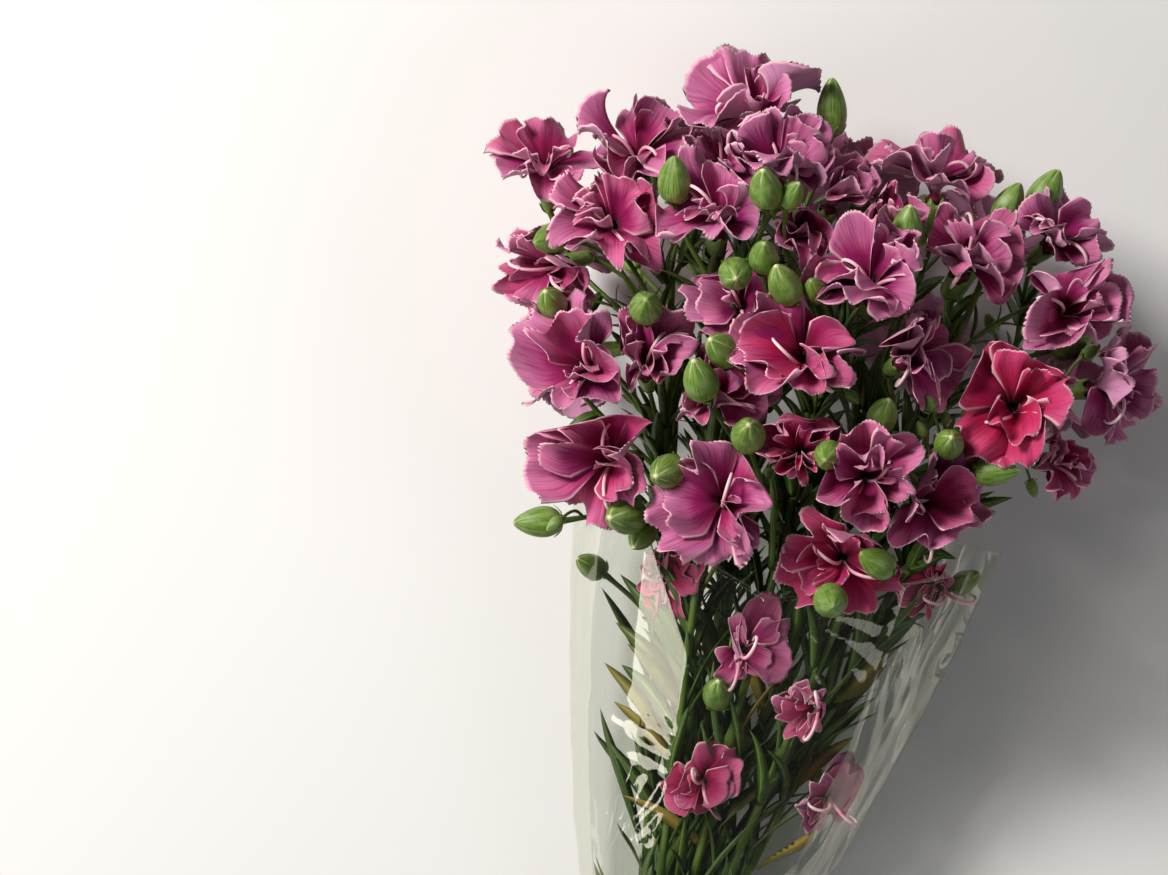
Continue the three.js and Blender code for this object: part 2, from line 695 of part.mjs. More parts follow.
// A round bar along points, with few sides, its radius given at each point. Both ends are closed.
function bar(points, radii, sides, extra) {
  const ends = points.map((point) => point.clone());
  const last = ends.length - 1;
  ends[0].addScaledVector(vec().subVectors(points[1], points[0]).normalize(), -extra);
  ends[last].addScaledVector(vec().subVectors(points[last], points[last - 1]).normalize(), extra);
  let side = vec(0, 0, 1);
  const corners = [];
  ends.forEach((point, i) => {
    const along = vec().subVectors(ends[Math.min(i + 1, last)], ends[Math.max(i - 1, 0)]).normalize();
    side = sum(side, along, -side.dot(along)).normalize();
    const other = vec().crossVectors(along, side);
    for (let k = 0; k < sides; k += 1) {
      const angle = (2 * Math.PI * k) / sides;
      const radius = radii[i] + extra;
      corners.push(point.clone().addScaledVector(side, radius * Math.cos(angle))
        .addScaledVector(other, radius * Math.sin(angle)));
    }
  });
  const faces = [];
  for (let i = 0; i < last; i += 1) {
    for (let k = 0; k < sides; k += 1) {
      const next = (k + 1) % sides;
      faces.push([i * sides + k, i * sides + next, (i + 1) * sides + next]);
      faces.push([i * sides + k, (i + 1) * sides + next, (i + 1) * sides + k]);
    }
  }
  for (let k = 1; k < sides - 1; k += 1) {
    faces.push([0, k + 1, k], [last * sides, last * sides + k, last * sides + k + 1]);
  }
  return solid(geometryFrom(corners, faces));
}

function mainStem(strand, extra) {
  const place = stemPlaces[strand.spray];
  const cut = vec(place.across, stem.cutY, place.height + axisHeight);
  const rest = cornersOf(strand);
  const radii = rest.map((_, i) => stem.radius + (stem.topRadius - stem.radius) * (i / stem.sections));
  return bar([cut, ...rest], [stem.radius, ...radii], stem.sides, extra);
}

// A head's form along its axis: [radius, distance from its foot] at each ring.
function headProfile(head) {
  const { footRadius, footHeight, mouthRadius, length } = calyx;
  if (head.isBloom) return [[footRadius, footHeight], [mouthRadius, length]].map(([r, h]) => [r * head.size, h * head.size]);
  const { shoulder, neck, neckGirth } = budShape;
  return [[1, shoulder], [neckGirth, neck], [0, 1]].map(([r, h]) => [r * head.half, h * head.length]);
}

// A three-sided twig that swells into the six-sided calyx or bud at its end, as one closed form.
function twigWithHead(strand, extra) {
  const { head } = strand;
  const rings = cornersOf(strand).map((point) => ({ point, radius: branch.radius, sides: branch.sides }));
  const foot = rings.length - 1;
  for (const [radius, height] of headProfile(head)) {
    rings.push({ point: sum(head.home, head.axis, height), radius, sides: radius > 0 ? calyx.sides : 1 });
  }
  const last = rings.length - 1;
  rings[last].point.addScaledVector(head.axis, extra);
  const corners = [];
  const starts = [];
  let side = vec(0, 0, 1);
  rings.forEach(({ point, radius, sides }, i) => {
    const along = vec().subVectors(rings[Math.min(i + 1, last)].point, rings[Math.max(i - 1, 0)].point).normalize();
    if (i > foot) along.copy(head.axis);
    side = sum(side, along, -side.dot(along)).normalize();
    const other = vec().crossVectors(along, side);
    starts.push(corners.length);
    for (let k = 0; k < sides; k += 1) {
      const angle = (2 * Math.PI * k) / sides;
      const reach = sides === 1 ? 0 : radius + extra;
      corners.push(point.clone().addScaledVector(side, reach * Math.cos(angle))
        .addScaledVector(other, reach * Math.sin(angle)));
    }
  });
  const faces = [[0, 2, 1]];
  for (let i = 0; i < last; i += 1) {
    const [low, high] = [rings[i].sides, rings[i + 1].sides];
    const at = (ring, k) => starts[ring] + (k % rings[ring].sides);
    for (let k = 0; k < low; k += 1) {
      if (high === 1) faces.push([at(i, k), at(i, k + 1), at(i + 1, 0)]);
      else if (high === low) {
        faces.push([at(i, k), at(i, k + 1), at(i + 1, k + 1)], [at(i, k), at(i + 1, k + 1), at(i + 1, k)]);
      } else {
        faces.push([at(i, k), at(i, k + 1), at(i + 1, 2 * k + 1)], [at(i, k), at(i + 1, 2 * k + 1), at(i + 1, 2 * k)],
          [at(i, k + 1), at(i + 1, 2 * k + 2), at(i + 1, 2 * k + 1)]);
      }
    }
  }
  const top = starts[last];
  for (let k = 1; k < rings[last].sides - 1; k += 1) faces.push([top, top + k, top + k + 1]);
  return solid(geometryFrom(corners, faces));
}

// A blade from a thin sheet of triangles, given the same thickness on both sides.
function blade(points, faces, half) {
  const normals = points.map(() => vec(0, 0, 0));
  for (const face of faces) {
    const [a, b, c] = face.map((n) => points[n]);
    const facing = vec().subVectors(b, a).cross(vec().subVectors(c, a));
    face.forEach((n) => normals[n].add(facing));
  }
  normals.forEach((normal) => normal.normalize());
  const count = points.length;
  const both = [...points.map((p, i) => sum(p, normals[i], half)), ...points.map((p, i) => sum(p, normals[i], -half))];
  const edges = new Set(faces.flatMap(([a, b, c]) => [`${a},${b}`, `${b},${c}`, `${c},${a}`]));
  const walls = [...edges].map((edge) => edge.split(',').map(Number))
    .filter(([a, b]) => !edges.has(`${b},${a}`))
    .flatMap(([a, b]) => [[b, a, a + count], [b, a + count, b + count]]);
  const under = faces.map(([a, b, c]) => [c + count, b + count, a + count]);
  return solid(geometryFrom(both, [...faces, ...under, ...walls]));
}

function leafForm(strand, extra) {
  const points = cornersOf(strand);
  const sheet = [];
  points.forEach((point, i) => {
    const along = vec().subVectors(points[Math.min(i + 1, 3)], points[Math.max(i - 1, 0)]).normalize();
    const across = vec().crossVectors(along, strand.outward).normalize();
    const half = leaf.halfWidths[i] + extra;
    if (i === 3) sheet.push(sum(point, along, extra));
    else if (i === 0) sheet.push(point.clone());
    else sheet.push(sum(point, across, -half), sum(point, across, half));
  });
  const faces = [[0, 2, 1], [1, 2, 4], [1, 4, 3], [3, 4, 5]];
  return blade(sheet, faces, leaf.halfThickness + extra);
}

function greenForm(spray, extra = 0) {
  const own = strands.filter((strand) => strand.spray === spray && strand.kind !== 'head');
  const shapes = own.map((strand) => {
    if (strand.kind === 'stem') return mainStem(strand, extra);
    if (strand.kind === 'branch') return twigWithHead(strand, extra);
    return leafForm(strand, extra);
  });
  return joined(shapes);
}

// ---------------------------------------------------------------- blooms

const openBlooms = heads.filter((head) => head.isBloom);

openBlooms.forEach((head, number) => {
  head.number = number;
  head.mouth = sum(head.home, head.axis, calyx.length * head.size + clearance);
  head.middle = sum(head.mouth, head.axis, head.half * grain.heartRise);
});

const crowding = { near: 1.05, gap: 0.5, soft: 2.2, floorSoft: 1.6, spill: 3.5, closing: 0.86, tries: 7 };

// Blooms press on each other: each keeps to its own side of a plane between it and each neighbour.
for (const head of openBlooms) {
  head.walls = openBlooms.filter((other) => other !== head).map((other) => {
    const away = vec().subVectors(other.middle, head.middle);
    const distance = away.length();
    away.divideScalar(distance);
    const share = head.half / (head.half + other.half);
    return { away, distance, limit: away.dot(head.middle) + distance * share - crowding.gap, other };
  }).filter((wall) => wall.distance < (head.half + wall.other.half) * crowding.near);
}

function crowded(head, point, inset) {
  let moved = point.clone();
  for (const { away, limit } of head.walls) {
    const room = limit - inset - moved.dot(away);
    moved.addScaledVector(away, room - softened(room, crowding.soft));
  }
  moved = head.region === inFilm ? insideFilm(moved, petal.filmRoom) : outsideFilm(moved, petal.filmRoom);
  const above = moved.z - petal.halfThickness - inset;
  moved.z = petal.halfThickness + inset + softened(above, crowding.floorSoft);
  return moved;
}

function spillOf(head, point) {
  const worst = Math.max(...head.walls.map(({ away, limit }) => point.dot(away) - limit), -point.z);
  const kept = head.region === inFilm ? insideFilm(point, petal.filmRoom) : outsideFilm(point, petal.filmRoom);
  return Math.max(worst, point.distanceTo(kept) - 1);
}

// A petal is a fan that leaves the calyx upright, then opens, and wraps part of the way round the axis.
// along: 0 at its root to 1 at its edge. across: -1 to 1 over its fan.
function petalPoint(head, one, along, across) {
  const reach = one.length * along;
  const start = degrees(petal.start);
  let [out, up, bend] = [0, 0, start];
  for (let i = 0; i < petal.steps; i += 1) {
    const part = ((i + 0.5) / petal.steps) * along;
    const eased = Math.min(1, part / petal.opened);
    bend = start + (one.open - start) * eased * eased * (3 - 2 * eased) + one.curl * part * part;
    out += (Math.sin(bend) * reach) / petal.steps;
    up += (Math.cos(bend) * reach) / petal.steps;
  }
  const round = petal.rootRadius * head.size + out;
  const turned = across * Math.min((one.spread * reach) / round, one.share);
  const wave = one.cup * across * across * along
    + one.ruffle * along * along * Math.sin(one.waves * across * Math.PI + one.phase);
  const apart = round - Math.cos(bend) * wave;
  return head.mouth.clone()
    .addScaledVector(head.axis, petal.rootHeight + petal.rootStep * one.row + up + Math.sin(bend) * wave)
    .addScaledVector(one.outward, apart * Math.cos(turned))
    .addScaledVector(one.sideways, apart * Math.sin(turned));
}

function petalsOf(head) {
  const draw = drawsFrom(9000 + head.number * 37);
  const first = vec(0, 0, 1).cross(head.axis).normalize();
  const second = vec().crossVectors(head.axis, first);
  const start = draw() * 2 * Math.PI;
  const scale = head.half / 23;
  const petals = [];
  petalLayers.forEach((layer, row) => {
    for (let i = 0; i < layer.count; i += 1) {
      const turn = start + ((i + row * 0.5) / layer.count) * 2 * Math.PI + (draw() - 0.5) * 0.12;
      const one = {
        row,
        inset: petals.length * petal.inset,
        open: degrees(layer.open + (draw() - 0.5) * 22),
        curl: degrees(10 + 40 * draw()),
        length: head.half * layer.length * (0.92 + 0.16 * draw()),
        spread: degrees(layer.spread * (0.92 + 0.14 * draw())),
        share: (Math.PI / layer.count) * petal.share,
        cup: (draw() - 0.25) * 7 * scale,
        ruffle: (1.6 + 2.2 * draw()) * scale,
        waves: 1.4 + draw(),
        phase: draw() * 2 * Math.PI,
        outward: first.clone().multiplyScalar(Math.cos(turn)).addScaledVector(second, Math.sin(turn)),
      };
      one.sideways = vec().crossVectors(head.axis, one.outward);
      const rim = [[0.72, -1], [0.72, 1], [1, -0.5], [1, 0], [1, 0.5]];
      for (let n = 0; n < crowding.tries; n += 1) {
        const spill = Math.max(...rim.map(([s, t]) => spillOf(head, petalPoint(head, one, s, t))));
        if (spill < crowding.spill) break;
        one.open *= crowding.closing;
        one.curl *= crowding.closing;
      }
      const outer = petals.filter((other) => other.row < row).map((other) => other.open);
      one.open = Math.min(one.open, petal.nesting * Math.min(...outer));
      petals.push(one);
    }
  });
  return petals;
}

for (const head of openBlooms) head.petals = petalsOf(head);

// The petals of one layer are one thin sheet: its middle, then for each petal the cleft beside it,
// the middle of its fan, its two sides and two points of its waved edge.
const petalNet = [[0.6, 0], [0.7, -1], [1, -0.42], [1, 0.42], [0.7, 1]];
const cleftReach = 0.42;

function layerSheet(head, petals) {
  const count = petals.length;
  const cleft = (n) => {
    const [before, after] = [petals[(n + count - 1) % count], petals[n % count]];
    const point = petalPoint(head, before, cleftReach, 1).add(petalPoint(head, after, cleftReach, -1));
    return point.multiplyScalar(0.5);
  };
  const root = petals[0].row === 0 ? petal.outerMiddle : petal.innerMiddle;
  const points = [sum(head.mouth, head.axis, root)];
  const faces = [];
  petals.forEach((one, n) => {
    points.push(crowded(head, cleft(n), one.inset));
    for (const [along, across] of petalNet) points.push(crowded(head, petalPoint(head, one, along, across), one.inset));
    const first = 1 + n * 6;
    const [left, middle, sideA, edgeA, edgeB, sideB] = [0, 1, 2, 3, 4, 5].map((k) => first + k);
    const right = 1 + ((n + 1) % count) * 6;
    faces.push([0, left, middle], [0, middle, right], [left, sideA, middle], [middle, sideB, right],
      [sideA, edgeA, middle], [edgeA, edgeB, middle], [edgeB, sideB, middle]);
  });
  return { points, faces };
}

function bloomForm(head, extra = 0) {
  const layers = [0, 1].map((row) => {
    const { points, faces } = layerSheet(head, head.petals.filter((one) => one.row === row));
    return blade(points, faces, petal.halfThickness + extra);
  });
  return joined(layers);
}

// ---------------------------------------------------------------- the rubber band

function rubberBand() {
  const outline = (room) => bundleOutline(room, band.sides, 0.5).map(({ x, z }) => new THREE.Vector2(x, z));
  const shape = new THREE.Shape(outline(clearance + band.thickness));
  shape.holes.push(new THREE.Path(outline(clearance)));
  const geometry = new THREE.ExtrudeGeometry(shape, { depth: band.width, bevelEnabled: false, steps: 1 });
  geometry.rotateX(Math.PI / 2);
  geometry.translate(0, band.y + band.width / 2, 0);
  return solid(geometry);
}

// ---------------------------------------------------------------- putting it together

const material = (color, roughness, options = {}) =>
  new THREE.MeshStandardMaterial({ color, roughness, metalness: 0, ...options });

const petalMaterial = (tone) =>
  material(new THREE.Color(colours.mauve).lerp(new THREE.Color(colours.crimson), tone * 0.8), 0.75);

const overlap = (a, b) => {
  const [p, q] = [a.boundingBox(), b.boundingBox()];
  return [0, 1, 2].every((n) => p.min[n] <= q.max[n] && q.min[n] <= p.max[n]);
};

const cutClear = (shape, others) =>
  others.filter((other) => overlap(shape, other)).reduce((left, other) => left.subtract(other), shape);

const bunch = new THREE.Group();
const greenMaterial = material(colours.green, 0.6);
const twoDigits = (n) => String(n + 1).padStart(2, '0');

// Strands that still meet are cut clear of the sprays before them, then petals of everything green.
const fatFilm = filmSleeve(clearance);
const greens = [];
const fatGreens = [];
stemPlaces.forEach((_, spray) => {
  greens.push(largest(cutClear(greenForm(spray), [fatFilm, ...fatGreens])));
  fatGreens.push(greenForm(spray, clearance));
});

const flowers = [];
const fatFlowers = [];
for (const head of openBlooms) {
  flowers.push(largest(cutClear(bloomForm(head), [fatFilm, ...fatGreens, ...fatFlowers])));
  fatFlowers.push(bloomForm(head, clearance));
}

greens.forEach((shape, i) => bunch.add(meshFrom(`spray_${twoDigits(i)}`, shape, greenMaterial)));
flowers.forEach((shape, i) =>
  bunch.add(meshFrom(`bloom_${twoDigits(i)}`, shape, petalMaterial(openBlooms[i].tone))));
bunch.add(meshFrom('film_sleeve', filmSleeve(),
  material(colours.film, 0.08, { transparent: true, opacity: 0.3, side: THREE.DoubleSide })));
bunch.add(meshFrom('rubber_band', rubberBand(), material(colours.rubber, 0.7)));

export default bunch;
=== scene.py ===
# A bunch of spray carnations, lying down, in a sleeve of clear film.
# Sizes are in millimetres, +Z up, +Y along the bunch from the cut ends to the flowers.
# Meshes are made in metres.
# The layout below is the frame's own: the same plan of heads, draws and settling give the same places.

import math

import bpy
import numpy as np
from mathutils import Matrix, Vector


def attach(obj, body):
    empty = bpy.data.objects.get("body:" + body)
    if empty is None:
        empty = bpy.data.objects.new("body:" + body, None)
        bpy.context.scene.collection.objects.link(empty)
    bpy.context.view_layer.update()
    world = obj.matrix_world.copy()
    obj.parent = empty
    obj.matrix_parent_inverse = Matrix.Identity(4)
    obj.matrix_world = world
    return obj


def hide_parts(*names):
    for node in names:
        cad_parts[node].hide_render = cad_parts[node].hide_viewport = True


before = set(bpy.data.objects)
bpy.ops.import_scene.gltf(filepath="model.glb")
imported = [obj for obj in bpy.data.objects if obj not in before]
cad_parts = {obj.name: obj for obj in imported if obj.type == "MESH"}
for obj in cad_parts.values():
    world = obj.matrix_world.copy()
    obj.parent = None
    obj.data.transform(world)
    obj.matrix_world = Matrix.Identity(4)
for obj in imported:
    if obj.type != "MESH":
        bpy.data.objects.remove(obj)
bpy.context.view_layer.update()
print('frame loaded')

# ---- the plan of the heads

# Heads are placed on a plan seen from above, whose steps are 0.42 mm and whose y runs down the page.
plan = {'step': 0.42, 'originX': 758, 'originY': 640, 'lean': math.radians(14.5)}

blooms = []
buds = []
budShape = {'girth': 0.32}
over, under, inFilm = 'over', 'under', 'in film'


# turn: the way the head leans on the plan, in degrees from the right, anticlockwise
# tilt: how far it looks up from the plan, in degrees. width: its size in mm
# tone: 0 for pale mauve to 1 for crimson. lift: mm nearer the eye than the dome
# region: over the dome, under it, or inside the film. girth: a bud's half width as a share of its length
def bloom(x, y, turn, tilt, width, tone, lift=0, region=over):
    blooms.append({'kind': 'bloom', 'x': x, 'y': y, 'turn': turn, 'tilt': tilt, 'half': width / 2,
                   'width': width, 'tone': tone, 'lift': lift, 'region': region})


def bud(x, y, turn, tilt, length, lift=0, region=over, girth=budShape['girth']):
    buds.append({'kind': 'bud', 'x': x, 'y': y, 'turn': turn, 'tilt': tilt, 'half': length * girth,
                 'length': length, 'lift': lift, 'region': region})


for row in [
    # the far edge of the bunch, from left to right
    (545, 168, 95, 45, 38, 0.5, -14), (637, 160, 100, 35, 46, 0.45, -4), (722, 165, 90, 50, 30, 0.3, -24),
    (755, 118, 95, 45, 50, 0.35, -6), (777, 172, 80, 40, 42, 0.15, 8), (833, 202, 65, 35, 34, 0.4, -8),
    (935, 185, 88, 20, 44, 0.45, -14), (1053, 243, 40, 60, 34, 0.3, 0),
    # the upper rows
    (612, 232, 120, 65, 46, 0.5, 2), (555, 268, 200, 50, 42, 0.5, -10), (718, 225, 80, 60, 48, 0.35, 6),
    (795, 240, 60, 65, 38, 0.45, -6), (885, 243, 95, 40, 42, 0.6, -12), (962, 268, 60, 60, 48, 0.5, -2),
    (868, 290, 85, 65, 50, 0.3, 6), (1060, 315, 20, 60, 48, 0.4, 0), (735, 312, 90, 70, 38, 0.4, -18),
    # the middle rows
    (590, 370, 170, 65, 46, 0.4, 2), (645, 368, 100, 70, 42, 0.45, -8), (800, 368, 270, 80, 52, 0.6, 10),
    (905, 360, 30, 70, 48, 0.4, 0), (1010, 415, 350, 75, 48, 0.95, 4), (1103, 388, 5, 40, 46, 0.25, 0),
    (1050, 464, 345, 50, 30, 0.6, -4), (718, 410, 150, 75, 46, 0.45, -6),
    # the near rows
    (612, 462, 190, 65, 50, 0.5, 2), (722, 508, 250, 70, 48, 0.4, 6), (798, 458, 270, 75, 42, 0.7, 0),
    (868, 480, 280, 70, 46, 0.5, 2), (920, 510, 310, 65, 44, 0.5, 0), (838, 570, 265, 70, 44, 0.75, 0),
    # inside the film
    (662, 578, 240, 55, 34, 0.8, -6, inFilm), (950, 592, 300, 50, 32, 0.85, -6, inFilm),
    (742, 655, 270, 60, 40, 0.5, 0, inFilm), (808, 702, 270, 60, 34, 0.6, -2, inFilm),
    (832, 803, 300, 50, 30, 0.5, -2, inFilm), (705, 783, 250, 55, 30, 0.7, 0, inFilm),
    # the far end and the underside
    (690, 150, 100, -10, 44, 0.45, 10, under), (860, 195, 85, -15, 44, 0.5, 10, under),
    (985, 250, 60, -20, 44, 0.4, 12, under), (590, 235, 140, -20, 44, 0.5, 12, under),
    (575, 355, 190, -25, 42, 0.4, 10, under), (1055, 385, 0, -25, 44, 0.5, 10, under),
    (770, 290, 90, -60, 46, 0.4, 0, under), (905, 350, 60, -60, 46, 0.5, 0, under),
]:
    bloom(*row)

for row in [
    # buds along the far edge
    (832, 106, 90, 5, 25, -8, over, 0.26), (673, 181, 90, 35, 22, 22), (765, 191, 100, 50, 22, 30),
    (787, 197, 60, 50, 16, 26), (1008, 204, 62, 15, 20, 0), (1046, 193, 62, 15, 23, 0),
    (903, 230, 82, 30, 22, 12), (862, 217, 95, 15, 22, -10), (550, 240, 195, 50, 21, 14),
    # buds over the upper rows
    (762, 259, 90, 60, 20, 22), (733, 277, 270, 80, 22, 20), (780, 285, 115, 40, 22, 18),
    (812, 291, 120, 60, 16, 14), (1078, 290, 20, 30, 20, 2), (645, 308, 90, 75, 22, 14),
    (551, 302, 120, 60, 20, 8), (532, 333, 100, 65, 20, 4),
    # buds over the middle rows
    (719, 350, 140, 55, 22, 18), (698, 379, 110, 45, 23, 18), (746, 434, 90, 70, 23, 18),
    (825, 456, 225, 75, 20, 18), (665, 472, 200, 65, 23, 16), (945, 443, 80, 75, 20, 14),
    (993, 471, 0, 20, 20, 8), (880, 414, 70, 50, 20, 6),
    # buds over the near rows and the film's rim
    (624, 517, 185, 60, 25, 14), (537, 522, 182, 10, 21, 22), (640, 535, 235, 50, 18, 6),
    (831, 595, 290, 80, 23, 16), (873, 561, 150, 40, 20, 12), (716, 547, 250, 40, 20, 8),
    (968, 584, 30, 30, 15, 0, inFilm), (897, 482, 330, 40, 18, 8), (718, 691, 90, 60, 20, 0, inFilm),
    (590, 567, 150, 40, 17, 0, inFilm),
    # buds of the far end and the underside
    (775, 160, 90, 0, 22, 12, under), (640, 175, 110, -10, 22, 8, under), (925, 215, 75, -5, 22, 16, under),
    (1080, 340, 20, -10, 22, 16, under),
]:
    bud(*row)

# ---- the layout, worked out as the frame's own is

clearance = 0.3
dome = {'middleY': 120, 'middleZ': 62, 'reachX': 152, 'reachY': 132, 'above': 70, 'below': 42}
stem = {'radius': 2.0, 'topRadius': 1.5, 'cutY': -350, 'waistY': -195, 'rows': [2, 3, 4, 3], 'sections': 5,
        'lowestFork': 45}
fan = {'length': 255, 'ease': 0.12, 'acrossGain': 8.6, 'heightGain': 5.6, 'rise': 56, 'risePower': 1.6}
branch = {'radius': 1.2, 'reach': 26, 'pull': 0.38, 'sections': 3, 'room': 0.8, 'besideGain': 0.62}
calyx = {'length': 18, 'mouthRadius': 4.6}
leaf = {'length': 78, 'lean': 10, 'bend': 30, 'sections': 3, 'grainRadius': 2.7}
petal = {'halfThickness': 0.36, 'rootHeight': 0.9, 'rootStep': 2.1, 'rootRadius': 1.7, 'nesting': 0.54,
         'room': 1.2, 'openedBy': 0.45, 'steps': 12}
band = {'y': -300, 'width': 7, 'thickness': 1.6}
film = {'thickness': 0.6, 'waistWidth': 12, 'widthGain': 108, 'waistHeight': 18, 'heightGain': 128,
        'growth': 190, 'middle': 0.44, 'rimFront': 20, 'rimRise': 40, 'rimSlant': 9}
# shares of the film's reach where points inside it and outside it are held, and how softly
filmHold = {'inside': 0.955, 'opening': 0.1, 'softShare': 0.8, 'outside': 1.035, 'closing': 0.03, 'look': 0.3,
            'soft': 0.04}
pitch = 2 * stem['radius'] + clearance
rowHeight = pitch * math.sqrt(3) / 2


# follows a distance while it is well above 0, and never falls below 0
def softened(distance, soft):
    return np.where(distance > 8 * soft, distance, soft * np.log1p(np.exp(np.minimum(distance / soft, 8))))


def unit(vectors):
    return vectors / np.linalg.norm(vectors, axis=-1, keepdims=True)


# a repeatable stream of draws between 0 and 1
def drawsFrom(seed):
    state = seed
    full = 0xffffffff
    while True:
        state = (state + 0x6d2b79f5) & full
        mixed = ((state ^ (state >> 15)) * (state | 1)) & full
        mixed ^= (mixed + (((mixed ^ (mixed >> 7)) * (mixed | 61)) & full)) & full
        yield (mixed ^ (mixed >> 14)) / 4294967296


stemPlaces = [((i - (count - 1) / 2) * pitch, (row - (len(stem['rows']) - 1) / 2) * rowHeight)
              for row, count in enumerate(stem['rows']) for i in range(count)]


# how far the bundle of stems reaches from its axis in one direction, with room round each stem
def bundleReach(angle, room):
    return stem['radius'] + room + max(a * np.cos(angle) + h * np.sin(angle) for a, h in stemPlaces)


axisHeight = bundleReach(-math.pi / 2, clearance) + band['thickness']


# the stems spread above the waist as along^2 / (along + ease), where along is 1 at the fan's length
def stemPoints(place, y):
    along = np.maximum(0, y - stem['waistY']) / fan['length']
    spread = along * along / (along + fan['ease'])
    across = 1 + fan['acrossGain'] * spread
    height = 1 + fan['heightGain'] * np.minimum(spread, 1.1)
    middle = axisHeight + fan['rise'] * np.sin(np.minimum(along, 1) * math.pi / 2) ** fan['risePower']
    points = np.stack([place[0] * across, y + 0 * across, middle + place[1] * height], axis=-1)
    return points, across, height, middle


def filmSection(y):
    away = 1 - np.exp(-np.maximum(0, y - stem['waistY']) / film['growth'])
    return film['waistWidth'] + film['widthGain'] * away, film['waistHeight'] + film['heightGain'] * away


def rimAt(angle):
    return (film['rimFront'] + film['rimRise'] * ((1 - np.sin(angle)) / 2) ** 0.45
            + film['rimSlant'] * np.cos(angle) + 3 * np.sin(3 * angle + 1))


# reach is 1 at the film's wall less the room
def againstFilm(points, room):
    width, height = filmSection(points[..., 1])
    middle = film['middle'] * height
    angle = np.arctan2(points[..., 2] - middle, points[..., 0])
    reach = np.hypot(points[..., 0] / (width - room), (points[..., 2] - middle) / (height - middle - room))
    return middle, reach, points[..., 1] - rimAt(angle)


def scaledAcross(points, middle, scale):
    x, y, z = points[..., 0], points[..., 1], points[..., 2]
    return np.stack([x * scale, y, middle + (z - middle) * scale], axis=-1)


# keeps points inside the film; above the rim the limit opens out quickly
def insideFilm(points, room):
    middle, reach, aboveRim = againstFilm(points, room)
    limit = filmHold['inside'] * (1 + filmHold['opening'] * np.maximum(0, aboveRim - 2))
    soft = limit * filmHold['softShare']
    limited = limit - (limit - soft) * np.exp(-np.maximum(reach - soft, 0) / (limit - soft))
    held = (reach > soft) & (points[..., 1] >= stem['waistY'])
    return scaledAcross(points, middle, np.where(held, limited / np.maximum(reach, 1e-6), 1))


# keeps petals that hang past the rim on the outside of the film
def outsideFilm(points, room):
    middle, reach, aboveRim = againstFilm(points, -room)
    least = filmHold['outside'] - filmHold['closing'] * np.maximum(0, aboveRim)
    moved = (reach > 0) & (reach <= least + filmHold['look'])
    held = least + softened(reach - least, filmHold['soft'])
    scale = np.where(moved, held / np.maximum(reach, 1e-6), 1)
    return scaledAcross(points, middle, scale)


def onPlan(x, y):
    right = (x - plan['originX']) * plan['step']
    up = (plan['originY'] - y) * plan['step']
    c, s = math.cos(plan['lean']), math.sin(plan['lean'])
    return right * c - up * s, right * s + up * c


def domeHeight(x, y, region):
    off = (x / dome['reachX']) ** 2 + ((y - dome['middleY']) / dome['reachY']) ** 2
    bulge = math.sqrt(max(0, 1 - off))
    return dome['middleZ'] + (-dome['below'] if region == under else dome['above']) * bulge


# each head gets an axis, and the place where its branch ends: the foot of its calyx or bud
def placeHead(head):
    x, y = onPlan(head['x'], head['y'])
    isBloom = head['kind'] == 'bloom'
    half = head['half']
    turn, tilt = math.radians(head['turn']) + plan['lean'], math.radians(head['tilt'])
    axis = np.array([math.cos(turn) * math.cos(tilt), math.sin(turn) * math.cos(tilt), math.sin(tilt)])
    z = max(half * 0.7, domeHeight(x, y, head['region']) + head['lift'])
    if head['region'] == inFilm:
        width, height = filmSection(y)
        z = height * (film['middle'] + (1 - film['middle']) * math.sqrt(max(0.1, 1 - (x / width) ** 2)))
        z += head['lift'] - half * (0.6 if isBloom else 1) - 3
    size = 0.72 + 0.28 * (head['width'] / 46) if isBloom else 1
    depth = half * 0.3 + calyx['length'] * size if isBloom else head['length'] / 2
    head.update(axis=axis, size=size, home=np.array([x, y, z]) - axis * depth)
    return head


heads = [placeHead(head) for head in blooms + buds]

# each head grows on the stem whose place in the fan is nearest to its own, sooner on one with few heads
sharing = {'most': 9, 'weight': 0.11}
counts = [0] * len(stemPlaces)
for head in heads:
    _, acrossScale, heightScale, middleHeight = stemPoints((0, 0), head['home'][1])
    across, height = head['home'][0] / acrossScale, (head['home'][2] - middleHeight) / heightScale
    distances = [(1 if counts[i] < sharing['most'] else math.inf) * (1 + sharing['weight'] * counts[i])
                 * math.hypot(place[0] - across, place[1] - height) for i, place in enumerate(stemPlaces)]
    head['spray'] = int(np.argmin(distances))
    counts[head['spray']] += 1

# A strand is a row of grains, small balls that keep a stem, branch, leaf or head clear of others.
# It is straight between its corners.
strands = []


def straighten(strand):
    corners = strand['corners']
    for a, b in zip(corners[:-1], corners[1:]):
        share = (np.arange(a, b + 1) - a)[:, None] / max(b - a, 1)
        strand['points'][a:b + 1] = strand['points'][a] * (1 - share) + strand['points'][b] * share


def addStrand(sections, **strand):
    last = len(strand['points']) - 1
    corners = [int(i * last / sections + 0.5) for i in range(sections + 1)]
    bow = np.zeros((sections + 1, 3))
    at = strand['points'][corners]
    bow[1:-1] = at[1:-1] - (at[:-2] + at[2:]) / 2
    lean = np.zeros((sections + 1, last + 1))
    for k, corner in enumerate(corners):
        lean[k, corner] = 1
        if k > 0:
            before = corners[k - 1]
            lean[k, before + 1:corner] = (np.arange(before + 1, corner) - before) / (corner - before)
        if k < sections:
            after = corners[k + 1]
            lean[k, corner + 1:after] = (after - np.arange(corner + 1, after)) / (after - corner)
    strand.update(corners=corners, bow=bow, lean=lean)
    if strand['kind'] != 'head':
        straighten(strand)
    strands.append(strand)


